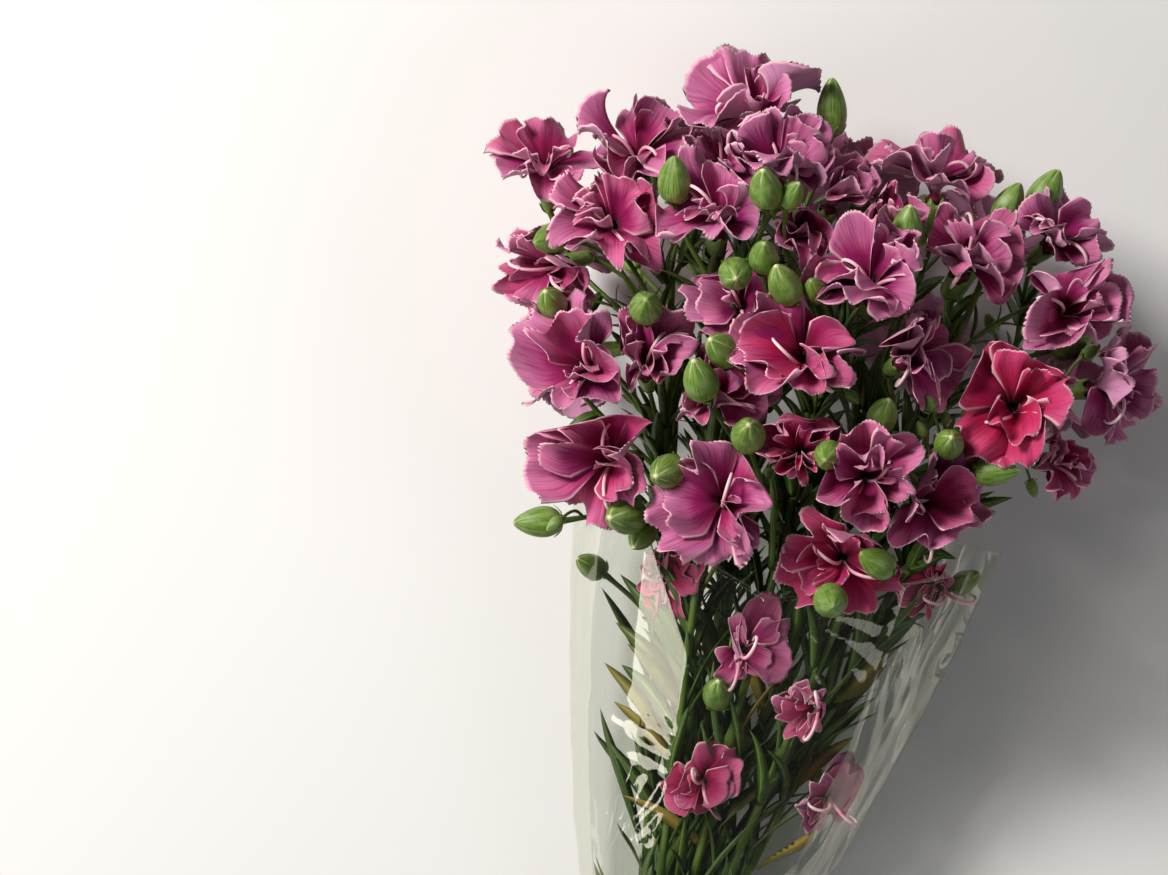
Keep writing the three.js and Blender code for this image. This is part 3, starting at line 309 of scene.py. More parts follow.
for head in heads:
    place = stemPlaces[head['spray']]
    beside = np.linalg.norm(stemPoints(place, head['home'][1])[0] - head['home'])
    head['forkY'] = max(head['home'][1] - branch['reach'] - branch['besideGain'] * beside,
                        stem['waistY'] + stem['lowestFork'])
    _, reach, aboveRim = againstFilm(head['home'], 0)
    head['overRim'] = bool(head['region'] == over and aboveRim < 8 and reach > 0.8)
    if head['overRim']:
        head['forkY'] = max(head['forkY'], head['home'][1] - aboveRim + 2)


def bezier(a, b, c, d, t):
    t = t[:, None]
    return a * (1 - t) ** 3 + 3 * b * t * (1 - t) ** 2 + 3 * c * t * t * (1 - t) + d * t ** 3


def rounded(value):
    return int(value + 0.5)


# a path of one length, whose steps lean outward by the angles in a column
def leaning(onward, outward, lean, length):
    way = onward * np.cos(lean) + outward * np.sin(lean)
    return np.cumsum(way * length / len(lean), axis=0)


# the direction at an angle round an axis, from two directions across it
def outwardAt(first, second, turn):
    return first * math.cos(turn) + second * math.sin(turn)


grainStep = 4
heartShare = 0.52  # of a bloom's half width: the ball at its heart that stems and buds keep out of


def onwardAt(place, y):
    return unit(stemPoints(place, y + 5)[0] - stemPoints(place, y)[0])


for spray, place in enumerate(stemPlaces):
    own = [head for head in heads if head['spray'] == spray]
    topY = max(head['forkY'] for head in own)
    count = rounded((topY - stem['waistY']) / grainStep) + 1
    ratio = np.arange(count) / (count - 1)
    points = stemPoints(place, stem['waistY'] + (topY - stem['waistY']) * ratio)[0]
    addStrand(stem['sections'], kind='stem', spray=spray, points=points, move=0, head=None,
              reach=0.3 + stem['radius'] + (stem['topRadius'] - stem['radius']) * ratio)
    for head in own:
        start = stemPoints(place, head['forkY'])[0]
        onward = onwardAt(place, head['forkY'])
        span = np.linalg.norm(start - head['home'])
        steps = max(3, rounded(span / grainStep))
        points = bezier(start, start + onward * span * branch['pull'],
                        head['home'] - head['axis'] * span * branch['pull'], head['home'],
                        np.arange(steps + 1) / steps)
        sections = max(2, min(branch['sections'], rounded(steps / 5)))
        addStrand(sections, kind='branch', spray=spray, points=points, move=1, head=head,
                  reach=np.full(steps + 1, branch['radius'] + branch['room']))
        isBloom = head['kind'] == 'bloom'
        body = calyx['length'] * head['size'] + 3 if isBloom else head['length']
        wide = (calyx['mouthRadius'] * head['size'] if isBloom else head['half']) + 0.3
        rowLength = body - wide * 1.2
        ratio = np.linspace(0, 1, max(2, rounded(rowLength / grainStep) + 1))
        points = head['home'] + head['axis'] * (wide * 0.6 + rowLength * ratio)[:, None]
        reach = wide * (0.7 + 0.3 * ratio) if isBloom else wide * (1 - 0.35 * np.abs(2 * ratio - 0.9))
        if isBloom:
            points = np.vstack([points, head['home'] + head['axis'] * (body + head['half'] * 0.35)])
            reach = np.append(reach, head['half'] * heartShare)
        addStrand(len(points) - 1, kind='head', spray=spray, points=points, move=1, head=head, reach=reach)

# leaves leave the joints of each stem, lean out and then bend back
leafRows = [-122, -45]
for spray, place in enumerate(stemPlaces):
    draw = drawsFrom(500 + spray)
    for y in leafRows:
        turn = next(draw) * 2 * math.pi
        shift = (next(draw) - 0.5) * 30
        length = leaf['length'] * (0.75 + 0.4 * next(draw))
        start = stemPoints(place, y + shift)[0]
        onward = onwardAt(place, y + shift)
        outward = np.array([math.cos(turn), 0, math.sin(turn)])
        outward = unit(outward - onward * (outward @ onward))
        steps = rounded(length / 5)
        lean = np.radians(leaf['lean'] + leaf['bend'] * (np.arange(1, steps + 1) / steps))[:, None]
        points = np.vstack([start, start + leaning(onward, outward, lean, length)])
        addStrand(leaf['sections'], kind='leaf', spray=spray, points=points, move=1, head=None,
                  outward=outward, reach=np.full(steps + 1, leaf['grainRadius']))

# ---- bending strands clear of each other

settling = {'rounds': 120, 'look': 10, 'margin': 5, 'give': 0.55, 'bar': 0.6, 'smooth': 0.05, 'sideways': 0.3,
            'homing': 0.02}


# Strands of one spray meet at its stem. Further out, its heads and branches keep clear of each other.
def nearPairs(points, reach, grains):
    pairs = []
    for at in range(0, len(points), 400):
        rows = np.arange(at, min(at + 400, len(points)))
        gaps = np.linalg.norm(points[rows, None] - points[None], axis=2)
        close = gaps < reach[rows, None] + reach + settling['margin']
        close &= rows[:, None] < np.arange(len(points))
        pairs.append(np.stack(np.nonzero(close), axis=1) + [at, 0])
    first, second = np.vstack(pairs).T
    spray, stemmed, headOf, rooted = (grains[key] for key in ('spray', 'stemmed', 'headOf', 'rooted'))
    low = stemmed | rooted
    meeting = low[first] | low[second] | (headOf[first] == headOf[second])
    free = (spray[first] != spray[second]) | ~meeting
    return first[free], second[free]


# a head moves as one, mostly towards or away from the eye, and drifts back to its place on the plan
def moveHead(strand, pushes):
    head = strand['head']
    drift = head.setdefault('drift', np.zeros(3))
    ways = [settling['sideways'], settling['sideways'], 1]
    move = pushes.sum(axis=0) * 0.5 * ways - drift * settling['homing']
    move[2] = max(move[2], -np.min(strand['points'][:, 2] - strand['reach']))
    head['drift'] = drift + move
    head['home'] = head['home'] + move
    strand['points'] += move


# a corner takes its share of each push along the straight parts beside it, and keeps most of its bend
def moveStrand(strand, pushes):
    corners = strand['corners']
    old = strand['points'][corners]
    moved = old + settling['bar'] * (strand['lean'] @ pushes)
    moved[1:-1] += settling['smooth'] * ((old[:-2] + old[2:]) / 2 + strand['bow'][1:-1] - old[1:-1])
    reach = strand['reach'][corners]
    moved[:, 2] = np.maximum(moved[:, 2], reach)
    last = len(corners) - 1
    overRim = bool(strand['head'] and strand['head']['overRim'])
    free = overRim & (np.arange(last + 1) > last * 0.4)
    moved = np.where(free[:, None], moved, insideFilm(moved, reach + 0.8))
    moved[0] = old[0]
    strand['points'][corners] = moved


def settle():
    lengths = [len(strand['points']) for strand in strands]
    starts = np.cumsum([0] + lengths)
    headIds = {id(head): i for i, head in enumerate(heads)}
    each = lambda values: np.repeat(values, lengths)
    order = np.concatenate([np.arange(length) for length in lengths])
    isHead = each([strand['kind'] == 'head' for strand in strands])
    grains = {
        'spray': each([strand['spray'] for strand in strands]),
        'stemmed': each([strand['kind'] == 'stem' for strand in strands]),
        'headOf': each([headIds.get(id(strand['head']), -1) for strand in strands]),
        'rooted': ~isHead & (order < 4),
    }
    reach = np.concatenate([strand['reach'] for strand in strands])
    move = each([float(strand['move']) for strand in strands])
    for turn in range(settling['rounds']):
        points = np.concatenate([strand['points'] for strand in strands])
        if turn % settling['look'] == 0:
            first, second = nearPairs(points, reach, grains)
        apart = points[first] - points[second]
        distance = np.maximum(np.linalg.norm(apart, axis=1), 0.01)
        short = reach[first] + reach[second] - distance
        share = move[first] + move[second]
        push = apart * np.where((short > 0) & (share > 0), short * settling['give'] / distance
                                / np.maximum(share, 1), 0)[:, None]
        onFirst, onSecond = push * move[first, None], push * move[second, None]
        pushes = np.stack([np.bincount(first, onFirst[:, k], len(points))
                           - np.bincount(second, onSecond[:, k], len(points)) for k in range(3)], axis=1)
        for strand, a, b in zip(strands, starts[:-1], starts[1:]):
            if strand['kind'] == 'head':
                moveHead(strand, pushes[a:b])
            elif strand['move'] > 0:
                moveStrand(strand, pushes[a:b])
        for strand in strands:
            if strand['kind'] == 'branch':
                strand['points'][-1] = strand['head']['home']
            if strand['kind'] != 'head':
                straighten(strand)


settle()
print('strands settled')

# ---- the guides of each bloom's petals, as in the frame

openBlooms = [head for head in heads if head['kind'] == 'bloom']
crowding = {'soft': 2.2, 'floorSoft': 1.6, 'spill': 3.5, 'closing': 0.86, 'tries': 7}

for number, head in enumerate(openBlooms):
    head['number'] = number
    head['mouth'] = head['home'] + head['axis'] * (calyx['length'] * head['size'] + clearance)
    head['middle'] = head['mouth'] + head['axis'] * head['half'] * 0.35

# blooms press on each other: each keeps to its own side of a plane between it and each neighbour
for head in openBlooms:
    head['walls'] = []
    for other in openBlooms:
        away = other['middle'] - head['middle']
        distance = np.linalg.norm(away)
        if other is head or distance >= (head['half'] + other['half']) * 1.05:
            continue
        away = away / distance
        share = head['half'] / (head['half'] + other['half'])
        head['walls'].append((away, away @ head['middle'] + distance * share - 0.5))


# a bloom inside the film stays inside it, and any other stays outside
def besideFilm(head, points):
    return (insideFilm if head['region'] == inFilm else outsideFilm)(points, petal['room'])


def crowded(head, points, inset):
    moved = points
    for away, limit in head['walls']:
        room = limit - inset - moved @ away
        moved = moved + (room - softened(room, crowding['soft']))[..., None] * away
    moved = besideFilm(head, moved)
    low = petal['halfThickness'] + inset
    z = low + softened(moved[..., 2] - low, crowding['floorSoft'])
    return np.concatenate([moved[..., :2], z[..., None]], axis=-1)


# how far points go past the floor, the bloom's walls or the film
def spillOf(head, points):
    worst = -points[..., 2]
    for away, limit in head['walls']:
        worst = np.maximum(worst, points @ away - limit)
    return np.maximum(worst, np.linalg.norm(points - besideFilm(head, points), axis=-1) - 1)


# A petal's middle line leaves the calyx upright, then opens, and curls towards its end.
def bendAlong(one, part):
    eased = np.minimum(1, part / petal['openedBy'])
    opening = (one['open'] - one['start']) * eased * eased * (3 - 2 * eased)
    return one['start'] + opening + one['curl'] * part * part


# points at a height along an axis from the bloom's mouth, and at a distance and an angle round it
def petalPoints(head, axis, one, rise, apart, turned):
    return (head['mouth'] + rise[..., None] * axis + (apart * np.cos(turned))[..., None] * one['outward']
            + (apart * np.sin(turned))[..., None] * one['sideways'])


# A petal is a fan that wraps part of the way round the axis. The sine of its bend runs out and the cosine up.
def guidePoints(head, one, along, across):
    part = (np.arange(petal['steps'])[:, None] + 0.5) / petal['steps'] * along
    bend = bendAlong(one, part)
    reach = one['length'] * along
    out, up, bend = np.sin(bend).mean(axis=0) * reach, np.cos(bend).mean(axis=0) * reach, bend[-1]
    around = petal['rootRadius'] * head['size'] + out
    turned = across * np.minimum(one['spread'] * reach / around, one['share'])
    wave = (one['cup'] * across * across * along
            + one['ruffle'] * along * along * np.sin(one['waves'] * across * math.pi + one['phase']))
    rise = petal['rootHeight'] + petal['rootStep'] * one['row'] + up + np.sin(bend) * wave
    return petalPoints(head, head['axis'], one, rise, around - np.cos(bend) * wave, turned)


guideLayers = [{'count': 3, 'open': 84, 'length': 1.26, 'spread': 57},
               {'count': 2, 'open': 52, 'length': 1.08, 'spread': 56}]
rimAlong = np.array([0.72, 0.72, 1, 1, 1])
rimAcross = np.array([-1, 1, -0.5, 0, 0.5])


def guidesOf(head):
    draw = drawsFrom(9000 + head['number'] * 37)
    first = unit(np.cross([0, 0, 1], head['axis']))
    second = np.cross(head['axis'], first)
    head.update(first=first, second=second)
    start = next(draw) * 2 * math.pi
    guides = []
    for row, layer in enumerate(guideLayers):
        for i in range(layer['count']):
            turn = start + (i + row * 0.5) / layer['count'] * 2 * math.pi + (next(draw) - 0.5) * 0.12
            one = {
                'row': row,
                'turn': turn,
                'start': math.radians(8),
                'open': math.radians(layer['open'] + (next(draw) - 0.5) * 22),
                'curl': math.radians(10 + 40 * next(draw)),
                'length': head['half'] * layer['length'] * (0.92 + 0.16 * next(draw)),
                'spread': math.radians(layer['spread'] * (0.92 + 0.14 * next(draw))),
                'share': math.pi / layer['count'] * 0.93,
                'cup': (next(draw) - 0.25) * 7 * head['half'] / 23,
                'ruffle': (1.6 + 2.2 * next(draw)) * head['half'] / 23,
                'waves': 1.4 + next(draw),
                'phase': next(draw) * 2 * math.pi,
                'outward': outwardAt(first, second, turn),
            }
            one['sideways'] = np.cross(head['axis'], one['outward'])
            for _ in range(crowding['tries']):
                if spillOf(head, guidePoints(head, one, rimAlong, rimAcross)).max() < crowding['spill']:
                    break
                one['open'] *= crowding['closing']
                one['curl'] *= crowding['closing']
            if row == 1:
                one['open'] = min(one['open'], petal['nesting'] * min(g['open'] for g in guides[:3]))
            guides.append(one)
    return guides


for head in openBlooms:
    head['guides'] = guidesOf(head)
print('petals laid out')

# ---- making meshes

metre = 0.001


def newShape():
    lists = ('points', 'flow', 'tint', 'quads', 'quadSlots', 'tris', 'triSlots')
    return {'count': 0, **{key: [] for key in lists}}


# three numbers for each point of a grid
def threeOf(a, b, c):
    return np.stack(np.broadcast_arrays(a, b, c), axis=-1)


def addPoints(shape, points, flow, tint):
    points = points.reshape(-1, 3)
    shape['points'].append(points)
    shape['flow'].append(np.broadcast_to(flow, points.shape).reshape(-1, 3) if np.ndim(flow) == 1
                         else flow.reshape(-1, 3))
    shape['tint'].append(np.broadcast_to(tint, points.shape) if np.ndim(tint) == 1 else tint.reshape(-1, 3))
    first = shape['count']
    shape['count'] += len(points)
    return first + np.arange(len(points))


def addFaces(shape, faces, slot):
    kind = 'quad' if faces.shape[-1] == 4 else 'tri'
    shape[kind + 's'].append(faces.reshape(-1, faces.shape[-1]))
    shape[kind + 'Slots'].append(np.full(faces.size // faces.shape[-1], slot))


# Rings of points, one after another along a piece, joined by quads. Each end closes at a point in its middle.
def addRings(shape, rings, flow, tint, slot):
    rows, sides = rings.shape[:2]
    index = addPoints(shape, rings, flow, tint).reshape(rows, sides)
    onward = np.roll(index, -1, axis=1)
    addFaces(shape, np.stack([index[:-1], onward[:-1], onward[1:], index[1:]], axis=-1), slot)
    for row, ends in ((0, (onward, index)), (-1, (index, onward))):
        pole = addPoints(shape, rings[row].mean(axis=0), flow[row].mean(axis=0), tint)
        corners = [ends[0][row], ends[1][row], np.full(sides, pole[0])]
        addFaces(shape, np.stack(corners, axis=-1), slot)


# A thin sheet from a grid of points: both faces are set off along the grid's normal, and meet at its border.
def addSheet(shape, points, flow, half, tone, slot):
    rows, columns = points.shape[:2]
    normal = np.cross(np.gradient(points, axis=0), np.gradient(points, axis=1))
    normal /= np.maximum(np.linalg.norm(normal, axis=-1, keepdims=True), 1e-9)
    inside = np.zeros((rows, columns), bool)
    inside[1:-1, 1:-1] = True
    offset = normal * np.where(inside, half, 0)[..., None]
    reverse = np.where(inside, 0, 0.5)
    front = addPoints(shape, points + offset, flow, threeOf(tone, reverse, 0)).reshape(rows, columns)
    back = front.copy()
    back[inside] = addPoints(shape, (points - offset)[inside], flow[inside], np.array([tone, 1, 0]))
    for index, order in ((front, (0, 1, 2, 3)), (back, (3, 2, 1, 0))):
        corners = [index[:-1, :-1], index[1:, :-1], index[1:, 1:], index[:-1, 1:]]
        addFaces(shape, np.stack([corners[k] for k in order], axis=-1), slot)


def makePiece(name, shape, materials):
    mesh = bpy.data.meshes.new(name)
    points = np.concatenate(shape['points']) * metre
    mesh.vertices.add(len(points))
    mesh.vertices.foreach_set('co', points.ravel())
    quads = np.concatenate(shape['quads']) if shape['quads'] else np.zeros((0, 4), int)
    tris = np.concatenate(shape['tris']) if shape['tris'] else np.zeros((0, 3), int)
    mesh.loops.add(quads.size + tris.size)
    mesh.loops.foreach_set('vertex_index', np.concatenate([quads.ravel(), tris.ravel()]))
    mesh.polygons.add(len(quads) + len(tris))
    mesh.polygons.foreach_set('loop_start', np.concatenate([np.arange(len(quads)) * 4,
                                                            quads.size + np.arange(len(tris)) * 3]))
    mesh.polygons.foreach_set('material_index', np.concatenate(shape['quadSlots'] + shape['triSlots']))
    mesh.update(calc_edges=True)
    mesh.polygons.foreach_set('use_smooth', np.ones(len(mesh.polygons), bool))
    for key in ('flow', 'tint'):
        values = mesh.attributes.new(key, 'FLOAT_VECTOR', 'POINT')
        values.data.foreach_set('vector', np.concatenate(shape[key]).astype(np.float32).ravel())
    mesh.validate()
    for material in materials:
        mesh.materials.append(material)
    piece = bpy.data.objects.new(name, mesh)
    bpy.context.scene.collection.objects.link(piece)
    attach(piece, 'root')
    return piece


# ---- materials

# the material that is being built, its node tree and its surface
bench = {}


def colour(red, green, blue):
    linear = [(v / 255 / 12.92) if v / 255 <= 0.04045 else ((v / 255 + 0.055) / 1.055) ** 2.4
              for v in (red, green, blue)]
    return (*linear, 1)


def newFinish(name, roughness, **values):
    finish = bpy.data.materials.new(name)
    finish.use_nodes = True
    surface = finish.node_tree.nodes['Principled BSDF']
    surface.inputs['Roughness'].default_value = roughness
    for key, value in values.items():
        surface.inputs[key.replace('_', ' ')].default_value = value
    bench.update(finish=finish, tree=finish.node_tree, surface=surface)
    return finish


def node(kind, output, sockets=(), **settings):
    made = bench['tree'].nodes.new('ShaderNode' + kind)
    for key, value in settings.items():
        setattr(made, key, value)
    for key, value in dict(sockets).items():
        if isinstance(value, bpy.types.NodeSocket):
            bench['tree'].links.new(value, made.inputs[key])
        else:
            made.inputs[key].default_value = value
    return made.outputs[output]


def maths(operation, a, b=0.0):
    return node('Math', 0, {0: a, 1: b}, operation=operation)


def product(a, b):
    return maths('MULTIPLY', a, b)


# goes from 0 to 1 while the value goes from low to high
def ramped(value, low, high):
    return node('MapRange', 0, {'Value': value, 'From Min': low, 'From Max': high},
                interpolation_type='SMOOTHSTEP')


def blended(share, a, b, way='MIX'):
    return node('Mix', 2, {0: share, 6: a, 7: b}, data_type='RGBA', blend_type=way)


# the three parts of one of the mesh's own attributes
def flowOf(name='flow'):
    vector = node('Attribute', 'Vector', attribute_name=name)
    return [node('SeparateXYZ', k, {0: vector}) for k in range(3)]


def noise(vector, scale, detail=2.0, roughness=0.5):
    return node('TexNoise', 0, {'Vector': vector, 'Scale': scale, 'Detail': detail, 'Roughness': roughness})


# noise drawn out by so much across and along a flow
def grained(flow, across, along, *settings):
    vector = node('CombineXYZ', 0, {0: product(flow[0], across), 1: product(flow[1], along), 2: flow[2]})
    return noise(vector, *settings)


def placeOf():
    return node('TexCoord', 'Object')


# how far a noise is from its middle, times a gain
def swing(value, gain):
    return product(maths('SUBTRACT', value, 0.5), gain)


def dressed(skin, height=None, strength=0.0, distance=0.0):
    surface, links = bench['surface'], bench['tree'].links
    links.new(skin, surface.inputs['Base Color'])
    if height is not None:
        normal = node('Bump', 0, {'Strength': strength, 'Distance': distance, 'Height': height})
        links.new(normal, surface.inputs['Normal'])
    return bench['finish']


petalColours = {
    # the darkest crimson is the petals' own deep base colour, darkened further as painted shade of the
    # flower's heart
    'mauve': colour(142, 22, 92), 'crimson': colour(170, 6, 62), 'throatHueAndShade': colour(92, 2, 34),
    'lilac': colour(200, 138, 172), 'edge': colour(242, 196, 202), 'vein': colour(146, 44, 114),
    'pale': colour(206, 128, 168), 'rose': colour(200, 66, 116),
}
styleColours = {'foot': colour(232, 150, 176), 'tip': colour(248, 226, 224), 'speckle': colour(214, 120, 150)}
budColours = {'dark': colour(74, 108, 28), 'light': colour(128, 158, 68), 'mottle': colour(142, 162, 102),
              'foot': colour(168, 188, 84), 'line': colour(206, 212, 152), 'tip': colour(228, 222, 176)}
stemColours = {'dark': colour(58, 84, 20), 'light': colour(98, 122, 44), 'waxy': colour(124, 144, 84)}
leafColours = {'dark': colour(44, 70, 18), 'light': colour(84, 112, 38), 'patch': colour(70, 92, 40),
               'middle': colour(134, 158, 78), 'dry': colour(158, 132, 58)}
filmColours = {'clear': colour(253, 254, 252), 'gloss': colour(253, 248, 236)}
rubberColours = {'dark': colour(188, 150, 96), 'light': colour(206, 172, 118)}
# a smooth patch of the film: its middle, and how far from there the bump starts and is whole
filmFlat = {'middle': (-34, 4, 88), 'smooth': 40, 'whole': 130}


# Petals: flow is across from -1 to 1, along from 0 to 1, and a number of the petal's own. Tint is the bloom's
# tone, then 1 on the reverse. The colour deepens towards the petal's base, partly its own deeper colour and
# partly painted shade of the flower's deep heart, and the rim and the reverse are pale.
def petalFinish():
    newFinish('petal', 0.62, Sheen_Weight=0.12, Sheen_Roughness=0.4, Specular_IOR_Level=0.22)
    shades = petalColours
    flow = flowOf()
    across, along, _ = flow
    tone, reverse, _ = flowOf('tint')
    veins = grained(flow, 30.0, 2.2, 1.0, 3.0, 0.6)
    cloud = grained(flow, 1.6, 2.0, 1.0, 2.0)
    deep = maths('ADD', tone, swing(cloud, 0.7))
    front = blended(ramped(deep, 0.25, 1.15), shades['mauve'], shades['crimson'])
    # painted shade: near its base each petal blends into a near-black crimson, the shade deep in the flower's
    # heart, over its own deeper colour
    front = blended(product(ramped(along, 0.62, 0.12), 0.92), front, shades['throatHueAndShade'])
    fading = maths('SUBTRACT', maths('ADD', along, swing(cloud, 0.5)), swing(veins, 0.4))
    paler = blended(ramped(deep, 0.35, 1.0), shades['pale'], shades['rose'])
    front = blended(product(ramped(fading, 0.48, 1.06), 0.85), front, paler)
    back = blended(ramped(deep, 0.3, 1.6), shades['lilac'], shades['crimson'])
    skin = blended(ramped(reverse, 0.4, 0.6), front, back)
    skin = blended(product(ramped(veins, 0.5, 0.75), 0.4), skin, shades['vein'], 'MULTIPLY')
    side = product(ramped(maths('ABSOLUTE', across), 0.92, 0.99), ramped(along, 0.35, 0.6))
    rim = product(maths('MAXIMUM', ramped(along, 0.955, 0.995), side), 0.8)
    return dressed(blended(rim, skin, shades['edge']), veins, 0.35, 0.0004)


def styleFinish():
    newFinish('style', 0.45)
    along = flowOf()[1]
    skin = blended(ramped(along, 0.2, 0.9), styleColours['foot'], styleColours['tip'])
    return dressed(blended(product(noise(placeOf(), 900.0), 0.25), skin, styleColours['speckle']))


# Buds and calyxes: flow is the cosine of five times the angle round, along from the foot to the tip, and an
# own number. Tint is how strong the star of pale lines at the tip is.
def budFinish():
    newFinish('budGreen', 0.42, Specular_IOR_Level=0.4)
    shades = budColours
    flow = flowOf()
    fifth, along, _ = flow
    star = flowOf('tint')[0]
    stripes = grained(flow, 4.0, 1.2, 1.6, 3.0)
    mottle = noise(placeOf(), 240.0, 3.0)
    skin = blended(ramped(stripes, 0.35, 0.7), shades['dark'], shades['light'])
    skin = blended(product(ramped(mottle, 0.4, 0.7), 0.5), skin, shades['mottle'])
    skin = blended(product(ramped(along, 0.28, 0.0), 0.7), skin, shades['foot'])
    near = product(ramped(along, 0.62, 0.97), star)
    line = ramped(maths('SUBTRACT', fifth, product(near, 0.22)), -0.7, -1.02)
    skin = blended(product(product(line, near), 0.7), skin, shades['line'])
    skin = blended(product(ramped(along, 0.955, 1.0), star), skin, shades['tip'])
    return dressed(skin, stripes, 0.25, 0.0005)


def stemFinish():
    newFinish('stemGreen', 0.5, Specular_IOR_Level=0.4)
    streak = grained(flowOf(), 3.0, 0.05, 1.4, 3.0)
    skin = blended(ramped(streak, 0.3, 0.7), stemColours['dark'], stemColours['light'])
    waxy = product(ramped(noise(placeOf(), 90.0, 3.0), 0.45, 0.75), 0.45)
    return dressed(blended(waxy, skin, stemColours['waxy']), streak, 0.2, 0.0004)


# Leaves: flow is across and along as on petals. Tint is how dry the leaf is.
def leafFinish():
    newFinish('leafGreen', 0.48, Specular_IOR_Level=0.4)
    shades = leafColours
    flow = flowOf()
    ribs = grained(flow, 7.0, 1.5, 1.0, 3.0)
    skin = blended(ramped(ribs, 0.3, 0.7), shades['dark'], shades['light'])
    skin = blended(ramped(noise(placeOf(), 60.0), 0.4, 0.7), skin, shades['patch'])
    middle = ramped(maths('ABSOLUTE', flow[0]), 0.16, 0.03)
    skin = blended(product(middle, 0.6), skin, shades['middle'])
    skin = blended(maths('MINIMUM', flowOf('tint')[0], 0.85), skin, shades['dry'])
    return dressed(skin, ribs, 0.3, 0.0004)


# Clear film: what is behind it shows, with reflections that grow towards grazing angles, up to a limit.
def filmFinish():
    finish = newFinish('clearFilm', 0.05)
    clear = node('BsdfTransparent', 0, {'Color': filmColours['clear']})
    crumpled = node('Mapping', 0, {'Vector': placeOf(), 'Rotation': (0, 0, 0.3), 'Scale': (130, 11, 130)})
    sway = node('TexNoise', 1, {'Vector': crumpled, 'Scale': 0.25})
    swayed = node('VectorMath', 0, {0: crumpled, 1: sway}, operation='ADD')
    ridges = node('TexVoronoi', 'Distance', {'Vector': swayed, 'Scale': 1.0})
    middle = [v * metre for v in filmFlat['middle']]
    far = node('VectorMath', 'Value', {0: placeOf(), 1: middle}, operation='DISTANCE')
    bumpy = ramped(far, filmFlat['smooth'] * metre, filmFlat['whole'] * metre)
    patches = ramped(noise(placeOf(), 16.0, 1.0), 0.46, 0.6)
    strength = product(product(patches, bumpy), 0.35)
    normal = node('Bump', 0, {'Strength': strength, 'Distance': 0.003, 'Height': ridges})
    gloss = node('BsdfGlossy', 0, {'Color': filmColours['gloss'], 'Roughness': 0.03, 'Normal': normal})
    grazing = maths('MINIMUM', node('Fresnel', 0, {'IOR': 1.5, 'Normal': normal}), 0.11)
    mixed = node('MixShader', 0, {0: grazing, 1: clear, 2: gloss})
    tree = bench['tree']
    tree.links.new(mixed, tree.nodes['Material Output'].inputs['Surface'])
    tree.nodes.remove(bench['surface'])
    return finish


def rubberFinish():
    newFinish('rubber', 0.55)
    grain = noise(placeOf(), 700.0, 4.0)
    skin = blended(ramped(grain, 0.3, 0.7), rubberColours['dark'], rubberColours['light'])
    return dressed(skin, grain, 0.3, 0.0002)


finishes = {'petal': petalFinish(), 'style': styleFinish(), 'bud': budFinish(), 'stem': stemFinish(),
            'leaf': leafFinish(), 'film': filmFinish(), 'rubber': rubberFinish()}
print('materials made')

# ---- paths

def smoothed(path, times):
    for _ in range(times):
        path[1:-1] = path[1:-1] * 0.5 + (path[:-2] + path[2:]) * 0.25
    return path


def lengthsAlong(path):
    return np.concatenate([[0], np.cumsum(np.linalg.norm(np.diff(path, axis=0), axis=1))])


# the same path, in steps of nearly one length, and how far along each of its points is
def resampled(path, step):
    gone = lengthsAlong(path)
    count = max(3, rounded(gone[-1] / step) + 1)
    at = np.linspace(0, gone[-1], count)
    return np.stack([np.interp(at, gone, path[:, k]) for k in range(3)], axis=1), at


# a fixed direction that the path never runs along
def clearOf(path):
    runs = np.abs(unit(np.gradient(path, axis=0))).max(axis=0)
    return np.eye(3)[int(np.argmin(runs))]


def anglesRound(sides):
    return np.arange(sides) / sides * 2 * math.pi


# circles across a path
def ringsAlong(path, radii, sides):
    along = unit(np.gradient(path, axis=0))
    side = unit(np.cross(along, clearOf(path)))
    other = np.cross(along, side)
    angle = anglesRound(sides)[None, :, None]
    return path[:, None] + np.asarray(radii)[:, None, None] * (
        side[:, None] * np.cos(angle) + other[:, None] * np.sin(angle))


# A stalk's flow is the cosine and sine of the angle round, and a number of its own that grows along it.
def addStalk(shape, path, radii, sides, own):
    angle = anglesRound(sides)
    flow = threeOf(np.cos(angle), np.sin(angle), (lengthsAlong(path) / 30 + own * 40)[:, None])
    addRings(shape, ringsAlong(path, radii, sides), flow, np.zeros(3), 0)


# keeps a path of leaves above the floor
def offFloor(path):
    path[:, 2] = leafLow + softened(path[:, 2] - leafLow, 1.0)
    return path


# ---- greens: stems, twigs, calyxes, buds, scales and leaves

greenSlots = {'stem': 0, 'bud': 1, 'leaf': 2}
calyxFine = {'sides': 30, 'heights': np.array([0, 0.5, 1.6, 4, 8, 12, 15.5, 18]),
             'radii': np.array([1.3, 2.3, 2.9, 3.3, 3.8, 4.2, 4.5, 4.65]),
             'toothShare': np.array([0, 0, 0, 0, 0, 0.15, 0.5, 1]), 'tooth': 3.4, 'rib': 0.03,
             'wall': 0.9, 'floor': 14}
budFine = {'sides': 30, 'rows': 16, 'groove': 0.09, 'tipGroove': 0.3}
scaleFine = {'count': 4, 'rows': 6, 'columns': 5, 'half': 0.14}
leafFine = {'rows': 12, 'columns': 3, 'half': 0.16, 'widest': 3.0, 'fold': 0.42,
            'outline': ([0, 0.06, 0.32, 0.6, 0.86, 1], [0.5, 0.62, 1, 0.92, 0.45, 0.02])}
leafLow = 1.2  # how high leaves stay above the floor
leafRoom = 3.0  # how far they stay from the film
upright = np.array([0.0, 0.0, 1.0])


# points at heights along a head from its foot, and at distances and angles round it
def roundHead(head, heights, radii, angle):
    first = unit(np.cross([0.2, 0.1, 1], head['axis']))
    second = np.cross(head['axis'], first)
    across = np.cos(angle)[..., None] * first + np.sin(angle)[..., None] * second
    return head['home'] + heights[..., None] * head['axis'] + radii[..., None] * across


